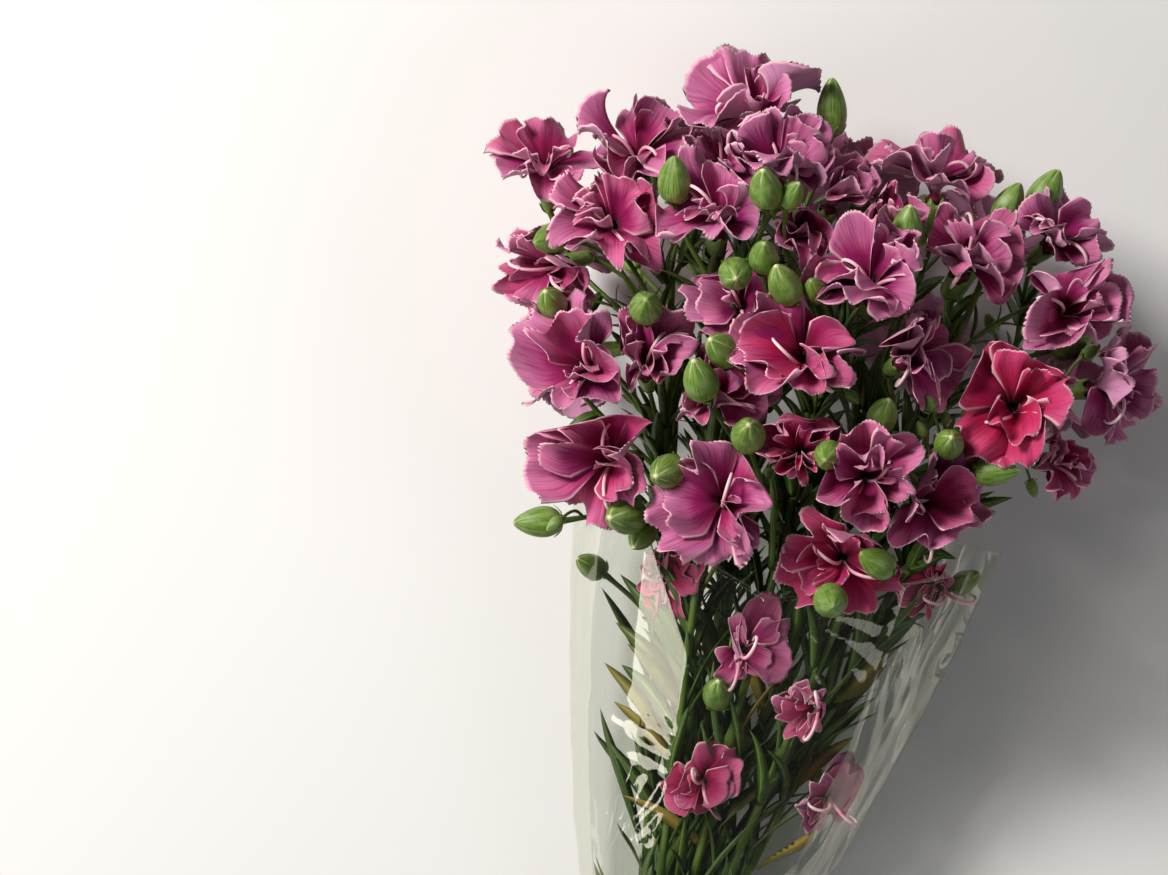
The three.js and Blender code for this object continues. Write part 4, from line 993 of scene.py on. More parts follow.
# a calyx: a ribbed tube that ends in five teeth
def addCalyx(shape, head, own):
    fine = calyxFine
    size = head['size']
    angle = anglesRound(fine['sides'])
    tooth = np.maximum(0, 0.5 + 0.5 * np.cos(5 * angle)) ** 1.5
    share = fine['toothShare'][:, None]
    heights = fine['heights'][:, None] * size + share * (tooth - 0.35) * fine['tooth'] * size
    radii = fine['radii'][:, None] * size * (1 + fine['rib'] * np.cos(15 * angle))
    radii = radii * (1 - 0.06 * share * (1 - tooth))
    inner = radii[-1:] * fine['wall']
    heights = np.vstack([heights, heights[-1:] - 0.5, heights[-1:] * 0 + fine['floor'] * size])
    radii = np.vstack([radii, inner, inner * 0.9])
    along = np.minimum(heights / (calyx['length'] * size), 1) * 0.9
    addRings(shape, roundHead(head, heights, radii, angle + own * 6),
             threeOf(np.cos(5 * angle + math.pi), along, own * 20), np.array([0.25, 0, 0]), greenSlots['bud'])


# a bud's outline, where h goes from 0 at its foot to 1: the sine of pi times h to the 0.7, to the 0.6
def eggOutline(h):
    return np.sin(math.pi * h ** 0.7) ** 0.6


# A bud is an egg with five grooves that deepen towards its pointed tip.
def addBud(shape, head, own):
    fine = budFine
    angle = anglesRound(fine['sides'])
    h = (1 - np.cos(np.linspace(0.02, 0.985, fine['rows']) * math.pi))[:, None] / 2
    valley = 0.5 - 0.5 * np.cos(5 * angle)
    groove = fine['groove'] * valley ** 3 * np.clip((h - 0.25) / 0.5, 0, 1)
    groove = groove + fine['tipGroove'] * valley ** 2 * np.clip((h - 0.8) / 0.2, 0, 1)
    radii = head['half'] * eggOutline(h) * (1 - groove)
    star = 0.55 + 0.45 * math.sin(own * 40)
    addRings(shape, roundHead(head, h * head['length'] + 0 * angle, radii, angle + own * 6),
             threeOf(np.cos(5 * angle), h, own * 20), np.array([star, own, 0]), greenSlots['bud'])


# pointed scales that clasp the foot of a calyx or bud
def addScales(shape, head, own):
    fine = scaleFine
    isBloom = head['kind'] == 'bloom'
    length = 5.2 * head['size'] if isBloom else head['length'] * 0.24
    width = 2.9 * head['size'] if isBloom else head['length'] * 0.13
    u = np.linspace(-1, 1, fine['columns'])[None, :]
    v = np.linspace(0, 1, fine['rows'])[:, None]
    for k in range(fine['count']):
        outerPair = k % 2
        half = (0.95 - 0.1 * outerPair) * (1 - v ** 1.6) + 0.02
        up = v * length * (1 - 0.15 * outerPair)
        if isBloom:
            body = np.interp(up, calyxFine['heights'] * head['size'], calyxFine['radii'] * head['size'])
        else:
            body = head['half'] * eggOutline(np.maximum(up / head['length'], 0.004))
        reach = np.maximum(body, 1.1) + 0.3 + 0.25 * outerPair + 0.5 * v ** 4
        turned = own * 6 + k * math.pi / 2 + u * half * np.minimum(width / np.maximum(reach, 1), 0.9)
        points = roundHead(head, up - 0.5 + 0 * u, reach, turned)
        addSheet(shape, points, threeOf(u, 0.1 + 0.3 * v, own * 20 + k), fine['half'], 0.0, greenSlots['bud'])


# A blade: narrow, folded in a V along its middle. up is the way its upper face looks.
def addBlade(shape, path, up, widest, own, twist=0.0, dry=0.0):
    fine = leafFine
    path = resampled(path, max(1.0, lengthsAlong(path)[-1] / (fine['rows'] - 1)))[0]
    t = np.linspace(0, 1, len(path))
    along = unit(np.gradient(path, axis=0))
    normal = unit(up - along * (along @ up)[:, None])
    side = np.cross(along, normal)
    turn = (twist * t)[:, None]
    side, normal = side * np.cos(turn) + normal * np.sin(turn), normal * np.cos(turn) - side * np.sin(turn)
    half = widest * np.interp(t, *fine['outline'])[:, None]
    u = np.linspace(-1, 1, fine['columns'])
    lift = fine['fold'] * (np.sqrt(u * u + 0.02) - 0.14)
    points = path[:, None] + side[:, None] * (half * u)[..., None]
    points = points + normal[:, None] * (half * lift)[..., None]
    addSheet(shape, points, threeOf(u, t[:, None] * 6, own * 30), fine['half'], dry, greenSlots['leaf'])


# the pairs of small leaves on a branch: where, as a share of its length or else at its joint, the shortest
# length, how much longer they may be, and the half width
sprigs = [(None, 9, 12, 1.1), (0.12, 24, 18, 2.6), (0.3, 16, 14, 2.0)]
sprigSteps, leafSteps = 9, 13
# where the stems' own pairs of leaves stand along the bunch
leafNodes = [-172, -138, -104, -74, -48, -22, 2, 22, 42, 62, 80, 98]

# On the plan: where a budlet's or a leaf's stalk leaves its stem, where it ends, how far that is above the
# stem, and its length or half width.
budlets = [
    (1000, 375, 995, 331, 14, 9), (1062, 395, 1083, 357, 10, 9), (938, 470, 930, 412, 20, 8),
    (945, 470, 943, 424, 14, 7), (930, 480, 922, 437, 16, 8), (958, 465, 966, 420, 20, 8),
    (585, 540, 562, 518, 10, 9), (838, 400, 846, 392, 14, 8), (905, 470, 898, 440, 14, 7),
    (1020, 500, 1030, 480, 8, 8), (660, 520, 655, 505, 10, 8), (760, 480, 768, 470, 10, 7),
]
broadLeaves = [
    (945, 548, 1015, 498, 6, 3.6), (910, 575, 932, 528, 6, 3.2), (690, 545, 712, 520, 8, 3.0),
    (640, 330, 632, 290, 8, 3.4), (860, 430, 893, 405, 6, 2.6), (590, 300, 578, 330, 4, 2.6),
    (1000, 470, 1035, 462, 4, 2.4), (950, 330, 985, 292, 2, 2.4), (770, 420, 752, 402, 4, 2.4),
    (900, 560, 958, 560, 4, 2.8), (655, 430, 640, 405, 4, 2.6), (580, 450, 560, 440, 2, 2.4),
]

# leaves that spread to the film's sides: the same, then how dry each is
filmLeaves = [
    (690, 705, 606, 640, 6, 3.4, 0.3), (682, 765, 604, 702, 0, 3.0, 0.8),
    (700, 660, 622, 590, 10, 3.6, 0), (705, 725, 640, 628, 16, 3.2, 0.2),
    (684, 822, 612, 760, -6, 3.2, 0), (690, 800, 630, 696, 12, 3.4, 0.5), (700, 640, 655, 566, 8, 3.0, 0),
    (690, 850, 622, 800, 4, 2.8, 0.9), (700, 690, 650, 590, -14, 4.0, 0),
    (690, 740, 622, 668, -16, 3.6, 0), (694, 780, 640, 730, -18, 3.2, 0.4),
    (850, 650, 935, 600, 6, 3.2, 0), (838, 705, 905, 652, 10, 3.4, 0.6), (822, 762, 880, 700, 4, 3.0, 0),
    (860, 630, 955, 575, -8, 3.6, 0.2), (812, 805, 858, 742, -6, 3.0, 0.7),
    (855, 680, 922, 622, -16, 3.8, 0), (835, 740, 892, 668, -14, 3.4, 0.3),
    (845, 690, 880, 600, 18, 3.0, 0), (760, 720, 725, 612, 4, 3.4, 0.7),
    (770, 690, 800, 600, 10, 3.2, 0.4), (720, 680, 690, 600, 12, 3.0, 0.3),
    (676, 700, 600, 620, -4, 3.6, 0.1), (672, 760, 598, 664, -10, 3.4, 0.5),
    (668, 840, 604, 742, 0, 3.2, 0), (690, 670, 606, 572, -6, 3.6, 0), (700, 620, 630, 540, -4, 3.4, 0),
]


# the place on the upper stems and branches that is nearest on the plan, and the spray it belongs to
def nearestStalk(x, y):
    atX, atY = onPlan(x, y)
    options = []
    for strand in strands:
        if strand['kind'] in ('stem', 'branch'):
            points = strand['points']
            far = np.hypot(points[:, 0] - atX, points[:, 1] - atY) + np.maximum(0, 70 - points[:, 2]) * 0.3
            at = int(np.argmin(far))
            options.append((far[at], strand['spray'], points[at]))
    return min(options, key=lambda option: option[0])[1:]


def stalkTo(start, x, y, rise, steps):
    endX, endY = onPlan(x, y)
    end = np.array([endX, endY, start[2] + rise])
    t = np.linspace(0, 1, steps)[:, None]
    arch = np.array([0, 0, 1]) * np.sin(t * math.pi) * np.linalg.norm(end - start) * 0.12
    return start + (end - start) * t + arch + np.array([0, 1, 0]) * np.sin(t * math.pi) * 3


# the rows of a table that grow on one spray: where each starts, and the rest of it
def rowsOn(spray, table):
    for x, y, *rest in table:
        owner, start = nearestStalk(x, y)
        if owner == spray:
            yield start, *rest


def swellings(gone, places, height, width):
    return 1 + sum(height * np.exp(-((gone - place) / width) ** 2) for place in places)


def greensOf(spray):
    shape = newShape()
    draw = drawsFrom(3100 + spray * 71)
    own = {kind: [strand for strand in strands if strand['spray'] == spray and strand['kind'] == kind]
           for kind in ('stem', 'branch', 'leaf')}
    main = own['stem'][0]['points']
    foot = np.array([[main[0][0], y, main[0][2]] for y in np.arange(stem['cutY'], stem['waistY'], 15)])
    path, gone = resampled(smoothed(np.vstack([foot, main]), 6), 3)
    joints = [float(np.argmin(np.abs(path[:, 1] - y))) / (len(path) - 1) * gone[-1] for y in leafRows]
    share = np.clip((path[:, 1] - stem['waistY']) / (main[-1][1] - stem['waistY']), 0, 1)
    radii = stem['radius'] + (stem['topRadius'] - stem['radius']) * share
    radii = radii * np.where(path[:, 1] > stem['waistY'] + 20, swellings(gone, joints, 0.5, 3.5), 1)
    addStalk(shape, path, radii, 14, next(draw))
    mainPath = path
    for strand in own['branch']:
        head = strand['head']
        seed = next(draw)
        path, gone = resampled(smoothed(strand['points'].copy(), 5), 2.5)
        radii = np.interp(gone / gone[-1], [0, 0.12, 0.9, 1], [1.35, 1.15, 1.1, 1.5])
        middle = gone[-1] * (0.35 + 0.2 * next(draw))
        radii = radii * swellings(gone, [middle], 0.45, 1.8)
        addStalk(shape, path, radii, 8, seed)
        if head['kind'] == 'bloom':
            addCalyx(shape, head, seed)
        else:
            addBud(shape, head, seed)
        addScales(shape, head, seed)
        for share, shortest, longer, widest in sprigs:
            place = middle if share is None else gone[-1] * share
            at = int(np.argmin(np.abs(gone - place)))
            onward = unit(path[min(at + 1, len(path) - 1)] - path[max(at - 1, 0)])
            turn = next(draw) * math.pi
            first = unit(np.cross(onward, clearOf(path)))
            second = np.cross(onward, first)
            for sense in (1, -1):
                outward = outwardAt(first, second, turn) * sense
                length = min(shortest + longer * next(draw), gone[-1] * 0.6)
                lean = math.radians(20 + 16 * next(draw)) + np.linspace(0, 0.5, sprigSteps)[:, None]
                blade = offFloor(path[at] + outward * 0.7 + leaning(onward, outward, lean, length))
                addBlade(shape, blade, -outward, widest * (0.9 + 0.5 * next(draw)), next(draw))
    for start, endX, endY, rise, length in rowsOn(spray, budlets):
        path = stalkTo(start, endX, endY, rise, 12)
        seed = next(draw)
        addStalk(shape, path, np.linspace(0.8, 0.65, 12), 6, seed)
        head = {'kind': 'bud', 'axis': unit(path[-1] - path[-3]), 'home': path[-1], 'length': length,
                'half': length * budShape['girth']}
        addBud(shape, head, seed)
        addScales(shape, head, seed)
    for start, endX, endY, rise, widest in rowsOn(spray, broadLeaves):
        path = stalkTo(start, endX, endY, rise, 14)
        addBlade(shape, path, upright, widest, next(draw), (next(draw) - 0.5) * 0.8)
    sway = drawsFrom(5200 + spray * 37)
    for start, endX, endY, rise, widest, dry in rowsOn(spray, filmLeaves):
        path = offFloor(insideFilm(stalkTo(start, endX, endY, rise, 14), leafRoom))
        addBlade(shape, path, upright, widest, next(sway), (next(sway) - 0.5) * 1.6, dry)
    for k, y in enumerate(leafNodes):
        turn = next(draw) * 0.8 + k * math.pi / 2
        at = int(np.argmin(np.abs(mainPath[:, 1] - y - 12 * next(draw))))
        if at > len(mainPath) - 8:
            continue
        onward = unit(mainPath[at + 3] - mainPath[at])
        for sense in (1, -1):
            outward = np.array([math.cos(turn), 0, math.sin(turn)]) * sense
            outward = unit(outward - onward * (outward @ onward))
            length = (40 + 38 * next(draw)) * (0.6 if y > 40 else 1)
            lean = np.radians(8 + 20 * next(draw))
            lean = lean + np.linspace(0, 0.2 + 0.7 * next(draw), leafSteps)[:, None]
            path = mainPath[at] + outward * 1.6 + leaning(onward, outward, lean, length)
            path = offFloor(insideFilm(path, leafRoom))
            dry = max(0, next(draw) - 0.8) * 4
            addBlade(shape, smoothed(path, 2), -outward, 2.3 + 2.2 * next(draw), next(draw),
                     (next(draw) - 0.5) * 2.4, dry)
    for strand in own['leaf']:
        path = smoothed(strand['points'].copy(), 3)
        addBlade(shape, path, -strand['outward'], leafFine['widest'] * (0.85 + 0.35 * next(draw)), next(draw),
                 (next(draw) - 0.5) * 1.2)
    return shape


for spray in range(len(stemPlaces)):
    name = f'{spray + 1:02d}'
    piece = makePiece('greens_' + name, greensOf(spray), [finishes[key] for key in ('stem', 'bud', 'leaf')])
    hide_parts('spray_' + name)
print('greens made')

# ---- petals and styles

petalFine = {
    'outer': {'count': 5, 'row': 0, 'most': 56, 'width': 0.56, 'rows': 14, 'columns': 53, 'step': 0.0,
              'open': (0.96, 0.06), 'length': (1.14, 0.18), 'reach': 0.64, 'folds': 22},
    'inner': {'count': 2, 'row': 1, 'most': 74, 'width': 0.64, 'rows': 14, 'columns': 53, 'step': 0.35,
              'open': (0.5, 0.36), 'length': (1.08, 0.2), 'reach': 0.8, 'folds': 15},
    'heart': {'count': 1, 'row': 1, 'most': 60, 'width': 0.36, 'rows': 9, 'columns': 33, 'step': 0.7,
              'open': (0.2, 0.3), 'length': (0.8, 0.25), 'reach': 0.6, 'folds': 16},
}
# tipped: how far blooms lean the way the bunch grows
# shorter: how much shorter petals that face the stems are
# claws: the heights and radii of the bundle of claws in the calyx's mouth
petalForm = {'half': 0.13, 'root': 0.05, 'tooth': 0.028, 'steps': 14, 'opened': 0.9, 'tipped': 0.4,
             'ceiling': 166, 'ceilingSoft': 3.0, 'shorter': 0.24,
             'claws': [(-0.2, 3.9), (0.7, 3.5), (2.0, 2.3), (3.0, 0.6)]}
bladeWidth = ([0, 0.12, 0.35, 0.55, 0.8, 1], [0.14, 0.26, 0.72, 0.96, 1, 1])
styleFine = {'rows': 22, 'sides': 6, 'low': 1.5, 'radii': ([0, 0.7, 1], [0.85, 0.8, 0.45])}
# sines of the angle round a bloom's axis: how high and how many times round
bloomWaves = {'open': [(0.2, 2), (0.2, 3)], 'wave': [(3.2, 3), (3.6, 5), (1.4, 9), (0.5, 15)],
              'roll': [(0.5, 4), (0.7, 7), (0.5, 11)]}


# a value of the frame's guides at any angle, eased from one guide to the next
def guideValue(guides, turn, key):
    weights = [np.exp(4 * np.cos(turn - one['turn'])) for one in guides]
    return sum(weight * one[key] for weight, one in zip(weights, guides)) / sum(weights)


def waving(waves, turn):
    return sum(high * np.sin(times * turn + at) for high, times, at in waves)


# The guide's fan on a fine grid. The rim falls by 0.02 u squared and 0.06 u to the eighth. It has teeth and a
# shallow notch. Its height above the fan is waves of the whole bloom, which neighbours share, a fold of its
# own along a line, small waves at the rim, and a lap that puts one side of each petal under the next.
def petalGrid(head, one, fine):
    u = np.linspace(-1, 1, fine['columns'])[None, :]
    v = (petalForm['root'] + (1 - petalForm['root']) * np.linspace(0, 1, fine['rows']) ** 0.8)[:, None]
    zigzag = np.arange(fine['columns'])[None, :] % 2
    teeth = zigzag * (0.75 + 0.25 * np.sin(u * 17 + one['phase'] * 3)) + 0.3 * np.sin(u * 9)
    jag = petalForm['tooth'] * (v >= 1) * teeth
    rim = 1 - 0.02 * u ** 2 - 0.06 * u ** 8 + 0.03 * np.sin(u * 4.5 + one['phase']) - jag
    reach = one['size'] * v * rim
    reach = reach * (1 + one['notch'] * np.exp(-(u / 0.16) ** 2) * v ** 3)
    part = (np.arange(petalForm['steps'])[:, None, None] + 0.5) / petalForm['steps'] * v
    theta = one['turn'] + u * fine['reach']
    bend = bendAlong(one, part) + one['roll'] * part ** 4 + one['corner'] * u ** 4 * part ** 3
    out, up, bend = np.sin(bend).mean(axis=0) * reach, np.cos(bend).mean(axis=0) * reach, bend[-1]
    around = petal['rootRadius'] * head['size'] + np.maximum(out, 0)
    wide = one['width'] * one['size'] * np.interp(v, *bladeWidth)
    turned = u * np.minimum(wide / np.maximum(around, 0.1), one['most'])
    ridge = (np.sqrt((u - one['foldAt']) ** 2 + 0.003) - 0.6) * (1 - u ** 4)
    wave = (one['fold'] * ridge * v ** 1.3 + one['wave'] * waving(one['waves'], theta) * v ** 1.6
            + one['fine'] * v ** 4 * np.sin(one['fineWaves'] * u * math.pi + one['phase'] * 2)
            + one['lap'] * u * v)
    rise = petal['rootHeight'] + petal['rootStep'] * (one['row'] + fine['step']) + up + np.sin(bend) * wave
    points = petalPoints(head, one['axis'], one, rise, around - np.cos(bend) * wave, turned)
    return points, threeOf(u, v, one['own'] * 40)


# Petals give way to buds: points inside a bud's ball go above or below it, whichever side most of the petal
# beside it is on.
def pushedOff(points, balls):
    points = points.copy()
    for centre, radius in balls:
        across = np.linalg.norm(points[..., :2] - centre[:2], axis=-1)
        height = points[..., 2] - centre[2]
        beside = (across < radius * 1.6) & (np.abs(height) < radius * 2)
        if not beside.any():
            continue
        side = 1 if height[beside].mean() > 0.35 * radius else -1
        clear = np.sqrt(np.maximum(radius ** 2 - across ** 2, 0))
        inside = (across < radius) & (height * side < clear) & (np.abs(height) < radius * 1.2)
        points[..., 2] = np.where(inside, centre[2] + side * clear, points[..., 2])
    return points


budHeads = [strand for strand in strands if strand['kind'] == 'head' and strand['head']['kind'] == 'bud']
budBalls = [(point, reach + 0.4) for strand in budHeads
            for point, reach in zip(strand['points'], strand['reach'])]

# the way the bunch grows: up the page of the plan
growing = np.array([-math.sin(plan['lean']), math.cos(plan['lean']), 0])


# a soft ceiling for what stands high
def underCeiling(points, ceiling):
    points[..., 2] = ceiling - softened(ceiling - points[..., 2], petalForm['ceilingSoft'])
    return points


def petalsOfBloom(head):
    shape = newShape()
    draw = drawsFrom(7000 + head['number'] * 53)
    scale = head['half'] / 23
    beside = head['half'] * 1.6
    near = [ball for ball in budBalls if np.linalg.norm(ball[0] - head['middle']) < beside + ball[1]]
    begin = next(draw) * 2 * math.pi
    lean = [(0.1 + 0.25 * next(draw), 1, next(draw) * 2 * math.pi)]
    # an open flower faces the way the bunch grows, more than its calyx does
    axis = unit(head['axis'] + petalForm['tipped'] * (0.4 + next(draw)) * max(0, head['axis'][2]) * growing)
    first = unit(head['first'] - axis * (head['first'] @ axis))
    second = np.cross(axis, first)
    waves = {key: [(high * (0.7 + 0.6 * next(draw)), times, next(draw) * 2 * math.pi) for high, times in rows]
             for key, rows in bloomWaves.items()}
    outerGuides = [one for one in head['guides'] if one['row'] == 0]
    for kind, fine in petalFine.items():
        for k in range(fine['count']):
            at = (k + (0.5 if kind == 'inner' else 0.2)) / fine['count'] * 2 * math.pi
            turn = begin + at + (next(draw) - 0.5) * 0.24
            theta = turn + np.linspace(-1, 1, fine['columns'])[None, :] * fine['reach']
            one = {key: guideValue(outerGuides, theta, key) for key in ('start', 'open', 'curl')}
            size = float(guideValue(outerGuides, turn, 'length')) * (
                fine['length'][0] + fine['length'][1] * next(draw)) * (1 if kind == 'outer' else 0.84)
            outward = outwardAt(first, second, turn)
            one.update({
                'turn': turn,
                'row': fine['row'],
                'axis': axis,
                'outward': outward,
                'sideways': np.cross(axis, outward),
                'size': size * (1 - petalForm['shorter'] * max(0, -float(outward @ growing))),
                'open': (one['open'] * petalForm['opened'] * (fine['open'][0] + fine['open'][1] * next(draw))
                         * (1 + waving(lean + waves['open'], theta))),
                'curl': one['curl'] * 0.6 + math.radians(-20 + 20 * next(draw)),
                'most': math.radians(fine['most']),
                'width': fine['width'] * (0.85 + 0.35 * next(draw)),
                'corner': math.radians(-40 + 80 * next(draw)),
                'fold': (next(draw) - 0.5) * fine['folds'] * scale,
                'foldAt': (next(draw) - 0.5) * 0.9,
                'wave': scale,
                'waves': waves['wave'],
                'phase': next(draw) * 2 * math.pi,
                'fine': (0.3 + 0.4 * next(draw)) * scale,
                'fineWaves': 4 + 3 * next(draw),
                'roll': waving(waves['roll'], theta),
                'notch': -0.10 * next(draw),
                'lap': (1.4 + 1.4 * next(draw)) * scale,
                'own': next(draw),
            })
            points, flow = petalGrid(head, one, fine)
            points = underCeiling(pushedOff(crowded(head, points, 0.3), near), petalForm['ceiling'])
            tone = head['tone'] + (next(draw) - 0.5) * 0.3 + (0.06 if kind != 'outer' else 0)
            addSheet(shape, points, flow, petalForm['half'], tone, 0)
    # the petals' claws fill the calyx's mouth
    plug = np.array(petalForm['claws']) * head['size']
    angle = anglesRound(16)[:, None]
    rings = (head['mouth'] + plug[:, 0, None, None] * head['axis'] + plug[:, 1, None, None] * (
        np.cos(angle) * head['first'] + np.sin(angle) * head['second']))
    # their flow sits at the petals' base, so they take its near-black crimson, partly painted shade of the
    # flower's heart
    addRings(shape, rings, np.full((len(plug), 16, 3), 0.05), np.array([head['tone'], 0, 0]), 0)
    addStyles(shape, head, begin, draw)
    return shape


# two curled styles
def addStyles(shape, head, begin, draw):
    fine = styleFine
    for k in range(2):
        outward = outwardAt(head['first'], head['second'], begin + (k + 0.3 * next(draw)) * math.pi)
        sideways = np.cross(head['axis'], outward)
        t = np.linspace(0, 1, fine['rows'])[:, None]
        length = head['half'] * (0.95 + 0.4 * next(draw)) + 9
        bend = 0.2 + (3.2 + 3.4 * next(draw)) * t ** 2.4
        sweep = 0.9 * (next(draw) - 0.5) * t
        outward = outward * np.cos(sweep) + sideways * np.sin(sweep)
        path = head['mouth'] + head['axis'] * 2 + leaning(head['axis'], outward, bend, length)
        path = underCeiling(path, petalForm['ceiling'] - 2)
        if path[:, 2].min() > fine['low']:
            radii = np.interp(t[:, 0], *fine['radii'])
            flow = threeOf(np.zeros(fine['sides']), t, 0)
            addRings(shape, ringsAlong(path, radii, fine['sides']), flow, np.zeros(3), 1)


for head in openBlooms:
    name = f'{head["number"] + 1:02d}'
    piece = makePiece('petals_' + name, petalsOfBloom(head), [finishes['petal'], finishes['style']])
    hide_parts('bloom_' + name)
print('petals made')

# ---- the film sleeve and the rubber band

filmRing = {'around': 18, 'along': [0, 0.08, 0.24, 0.43, 0.62, 0.81, 1]}
filmFine = {'across': 14, 'up': 20, 'thickness': 0.24}
filmWaves = [(0.024, 7, 0.6, 3.1), (0.016, 11, 2, -5)]


# the rounded outline of the bundle of stems, a distance away from them
def bundleHull(angle, room):
    places = np.array(stemPlaces)
    ahead = np.cos(angle)[..., None] * places[:, 0] + np.sin(angle)[..., None] * places[:, 1]
    outer = places[np.argmax(ahead, axis=-1)]
    reach = stem['radius'] + room
    return outer[..., 0] + reach * np.cos(angle), axisHeight + outer[..., 1] + reach * np.sin(angle)


def triangle(x):
    return np.abs((x % 1) * 2 - 1) * 2 - 1


# Creases that fan out from a point of the upper wall: where it is and where its middle crease points on the
# plan, half the fan's angle, how many there are, how deep they are and how far they reach.
creaseFans = [
    (720, 793, 605, 705, 20, 3, 0.7, 70), (765, 598, 855, 640, 18, 3, 0.7, 52),
    (790, 640, 800, 690, 26, 4, 0.9, 30), (900, 602, 858, 760, 13, 3, 0.8, 70),
    (600, 875, 650, 800, 24, 4, 1.0, 36), (740, 880, 790, 770, 22, 4, 0.9, 50),
]


# Inward depth of the creases: in each fan a triangle wave runs across its angle, and grows and dies away with
# the distance. Long shallow folds run up the whole sleeve.
def creases(points, angle, share):
    x, y = points[..., 0], points[..., 1]
    still = np.clip(np.linalg.norm(points - filmFlat['middle'], axis=-1) / 14 - 2.6, 0, 1)
    folds = 0.35 * triangle(x / 27 + y / 61) + 0.4 * triangle(y / 43 - x / 35) + 0.3 * triangle(angle * 3.5)
    depth = share * folds
    upper = points[..., 2] > 40 * share
    for fromX, fromY, toX, toY, width, count, strong, reach in creaseFans:
        atX, atY = onPlan(fromX, fromY)
        endX, endY = onPlan(toX, toY)
        acrossX, acrossY = x - atX, y - atY
        far = np.hypot(acrossX, acrossY)
        off = np.arctan2(acrossX, acrossY) - math.atan2(endX - atX, endY - atY)
        off = np.abs((off + math.pi) % (2 * math.pi) - math.pi) / math.radians(width)
        window = np.clip(1.5 - off, 0, 1)
        wave = strong * upper * window * triangle(off * count / 2) * np.minimum(far / 14, 1)
        depth = depth + wave * np.exp(-(far / reach) ** 2)
    return depth * still * np.clip(share * 6, 0, 1)  # none at the waist


def filmRings(depth):
    rings = []
    turns = np.arange(filmRing['around'])
    angle = math.radians(-90) + 2 * math.pi * turns / filmRing['around']
    for share in filmRing['along']:
        y = stem['waistY'] + (rimAt(angle) - stem['waistY']) * share
        width, height = filmSection(y)
        pleat = 1 + share * sum(deep * np.sin(times * angle + at + twist * share)
                                for deep, times, at, twist in filmWaves)
        x = (width * pleat - depth) * np.cos(angle)
        z = film['middle'] * height + ((1 - film['middle']) * height * pleat - depth) * np.sin(angle)
        if share == 0:
            x, z = bundleHull(angle, clearance + film['thickness'] - depth)
        rings.append(np.stack([x, y, np.maximum(z, depth)], axis=-1))
    return np.array(rings)


# The frame's facets on a fine grid: each is two triangles that meet along its diagonal.
def onFacets(rings):
    across = np.arange(filmRing['around'] * filmFine['across']) / filmFine['across']
    up = np.arange((len(rings) - 1) * filmFine['up'] + 1) / filmFine['up']
    column, row = across.astype(int), np.minimum(up.astype(int), len(rings) - 2)
    s, t = (across - column)[None, :, None], (up - row)[:, None, None]
    low, lowNext = rings[row][:, column], rings[row][:, (column + 1) % filmRing['around']]
    high, highNext = rings[row + 1][:, column], rings[row + 1][:, (column + 1) % filmRing['around']]
    points = np.where(s >= t, low + s * (lowNext - low) + t * (highNext - lowNext),
                      low + t * (high - low) + s * (highNext - high))
    angle = math.radians(-90) + 2 * math.pi * across / filmRing['around']
    return points, angle[None, :], np.interp(up, np.arange(len(rings)), filmRing['along'])[:, None]


outerWall, wallAngle, wallShare = onFacets(filmRings(0.0))
inward = (onFacets(filmRings(film['thickness']))[0] - outerWall) / film['thickness']
creased = outerWall + inward * creases(outerWall, wallAngle, wallShare)[..., None]


# rings whose last joins the first
def addLoops(shape, rings):
    index = addPoints(shape, rings, np.zeros(3), np.zeros(3)).reshape(rings.shape[:2])
    onward = np.roll(index, -1, axis=1)
    after, afterOnward = np.roll(index, -1, axis=0), np.roll(onward, -1, axis=0)
    addFaces(shape, np.stack([index, onward, afterOnward, after], axis=-1), 0)


sleeve = newShape()
addLoops(sleeve, np.concatenate([creased, (creased + inward * filmFine['thickness'])[::-1]]))
sleevePiece = makePiece('film_wrap', sleeve, [finishes['film']])
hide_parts('film_sleeve')

bandFine = {'around': 192, 'profile': 20}


# The band's section is a superellipse of power 4: a square with well rounded corners.
def bandRings():
    turn = (np.arange(bandFine['profile']) + 0.5) / bandFine['profile'] * 2 * math.pi
    c, s = np.cos(turn), np.sin(turn)
    depth = clearance + band['thickness'] / 2 * (1 + np.sign(c) * np.abs(c) ** 0.5)
    y = band['y'] + band['width'] / 2 * np.sign(s) * np.abs(s) ** 0.5
    rings = []
    for room, at in zip(depth, y):
        x, z = bundleHull(anglesRound(bandFine['around']), room)
        rings.append(np.stack([x, at + 0 * x, z], axis=-1))
    return np.array(rings)


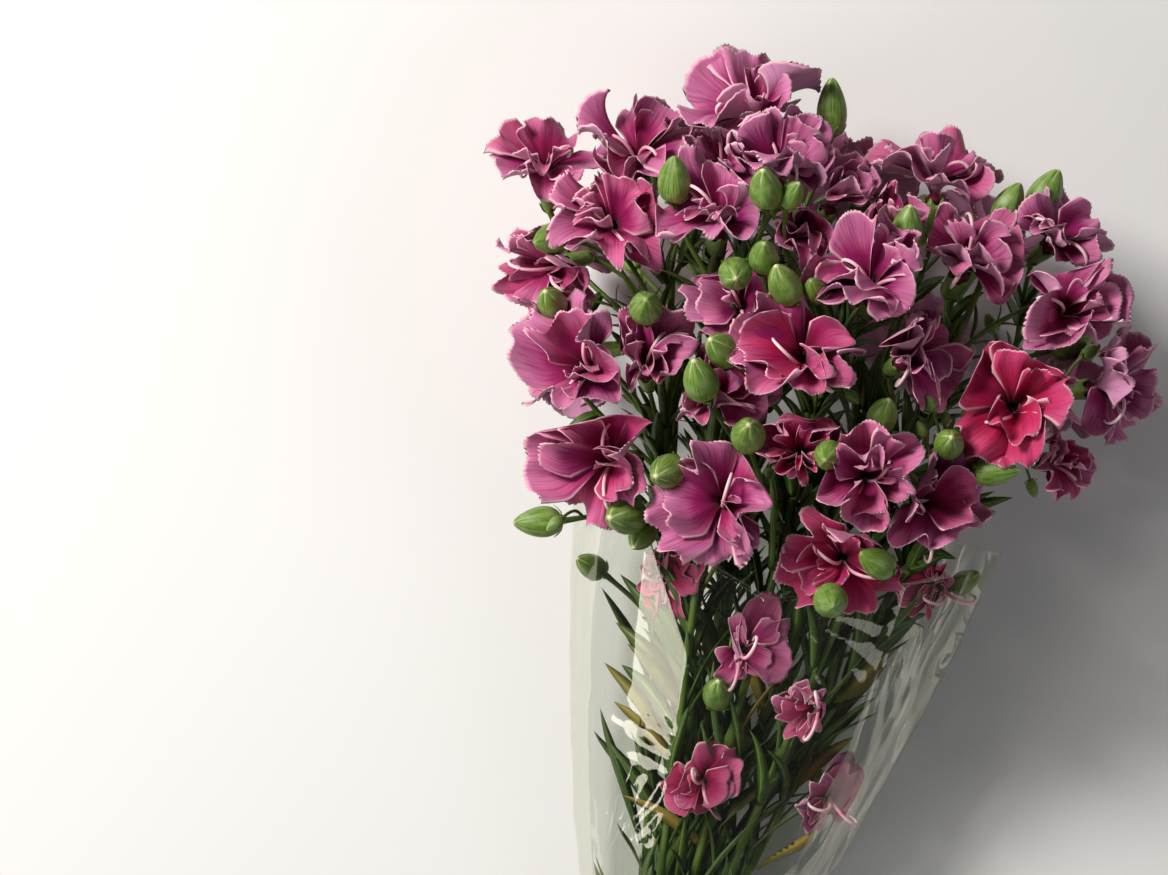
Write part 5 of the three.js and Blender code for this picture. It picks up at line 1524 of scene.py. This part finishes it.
rubberLoop = newShape()
addLoops(rubberLoop, bandRings())
bandPiece = makePiece('band', rubberLoop, [finishes['rubber']])
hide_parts('rubber_band')
print('film and band made')

# ---- the floor, the light and the camera

floorMesh = bpy.data.meshes.new('floor')
floorMesh.from_pydata([(-4, -4, 0), (4, -4, 0), (4, 4, 0), (-4, 4, 0)], [], [(0, 1, 2, 3)])
floor = bpy.data.objects.new('floor', floorMesh)
bpy.context.scene.collection.objects.link(floor)
floorFinish = newFinish('floor', 0.8, Base_Color=colour(232, 230, 228))
floorMesh.materials.append(floorFinish)

world = bpy.data.worlds.new('room')
world.use_nodes = True
world.node_tree.nodes['Background'].inputs['Color'].default_value = (0.9, 0.93, 1.0, 1)
world.node_tree.nodes['Background'].inputs['Strength'].default_value = 0.07
bpy.context.scene.world = world

pageRight = np.array([math.cos(plan['lean']), math.sin(plan['lean']), 0])
centre = np.array([-0.0921, 0.0640, 0.06])


def softbox(name, right, up, height, size, power, tint):
    lamp = bpy.data.lights.new(name, 'AREA')
    lamp.shape = 'RECTANGLE'
    lamp.size, lamp.size_y = size
    lamp.energy = power
    lamp.color = tint
    holder = bpy.data.objects.new(name, lamp)
    place = centre + pageRight * right + growing * up + np.array([0, 0, height])
    holder.location = place
    toward = Vector(centre - place)
    holder.rotation_euler = toward.to_track_quat('-Z', 'Y').to_euler()
    bpy.context.scene.collection.objects.link(holder)


softbox('key', -1.1, 0.95, 1.35, (0.6, 0.5), 48, (1.0, 0.98, 0.95))
softbox('side', -1.15, -0.45, 0.9, (0.8, 0.6), 8, (1.0, 0.98, 0.94))
softbox('fill', 1.1, -0.5, 1.0, (0.8, 0.8), 3, (0.96, 0.98, 1.0))

camera = bpy.data.objects.new('camera', bpy.data.cameras.new('camera'))
bpy.context.scene.collection.objects.link(camera)
camera.location = (centre[0], centre[1], 3.5)
camera.rotation_euler = (0, 0, plan['lean'])
camera.data.sensor_width = 36
camera.data.lens = 249.5
bpy.context.scene.camera = camera
bpy.context.scene.view_settings.view_transform = 'Standard'

print('scene ready')
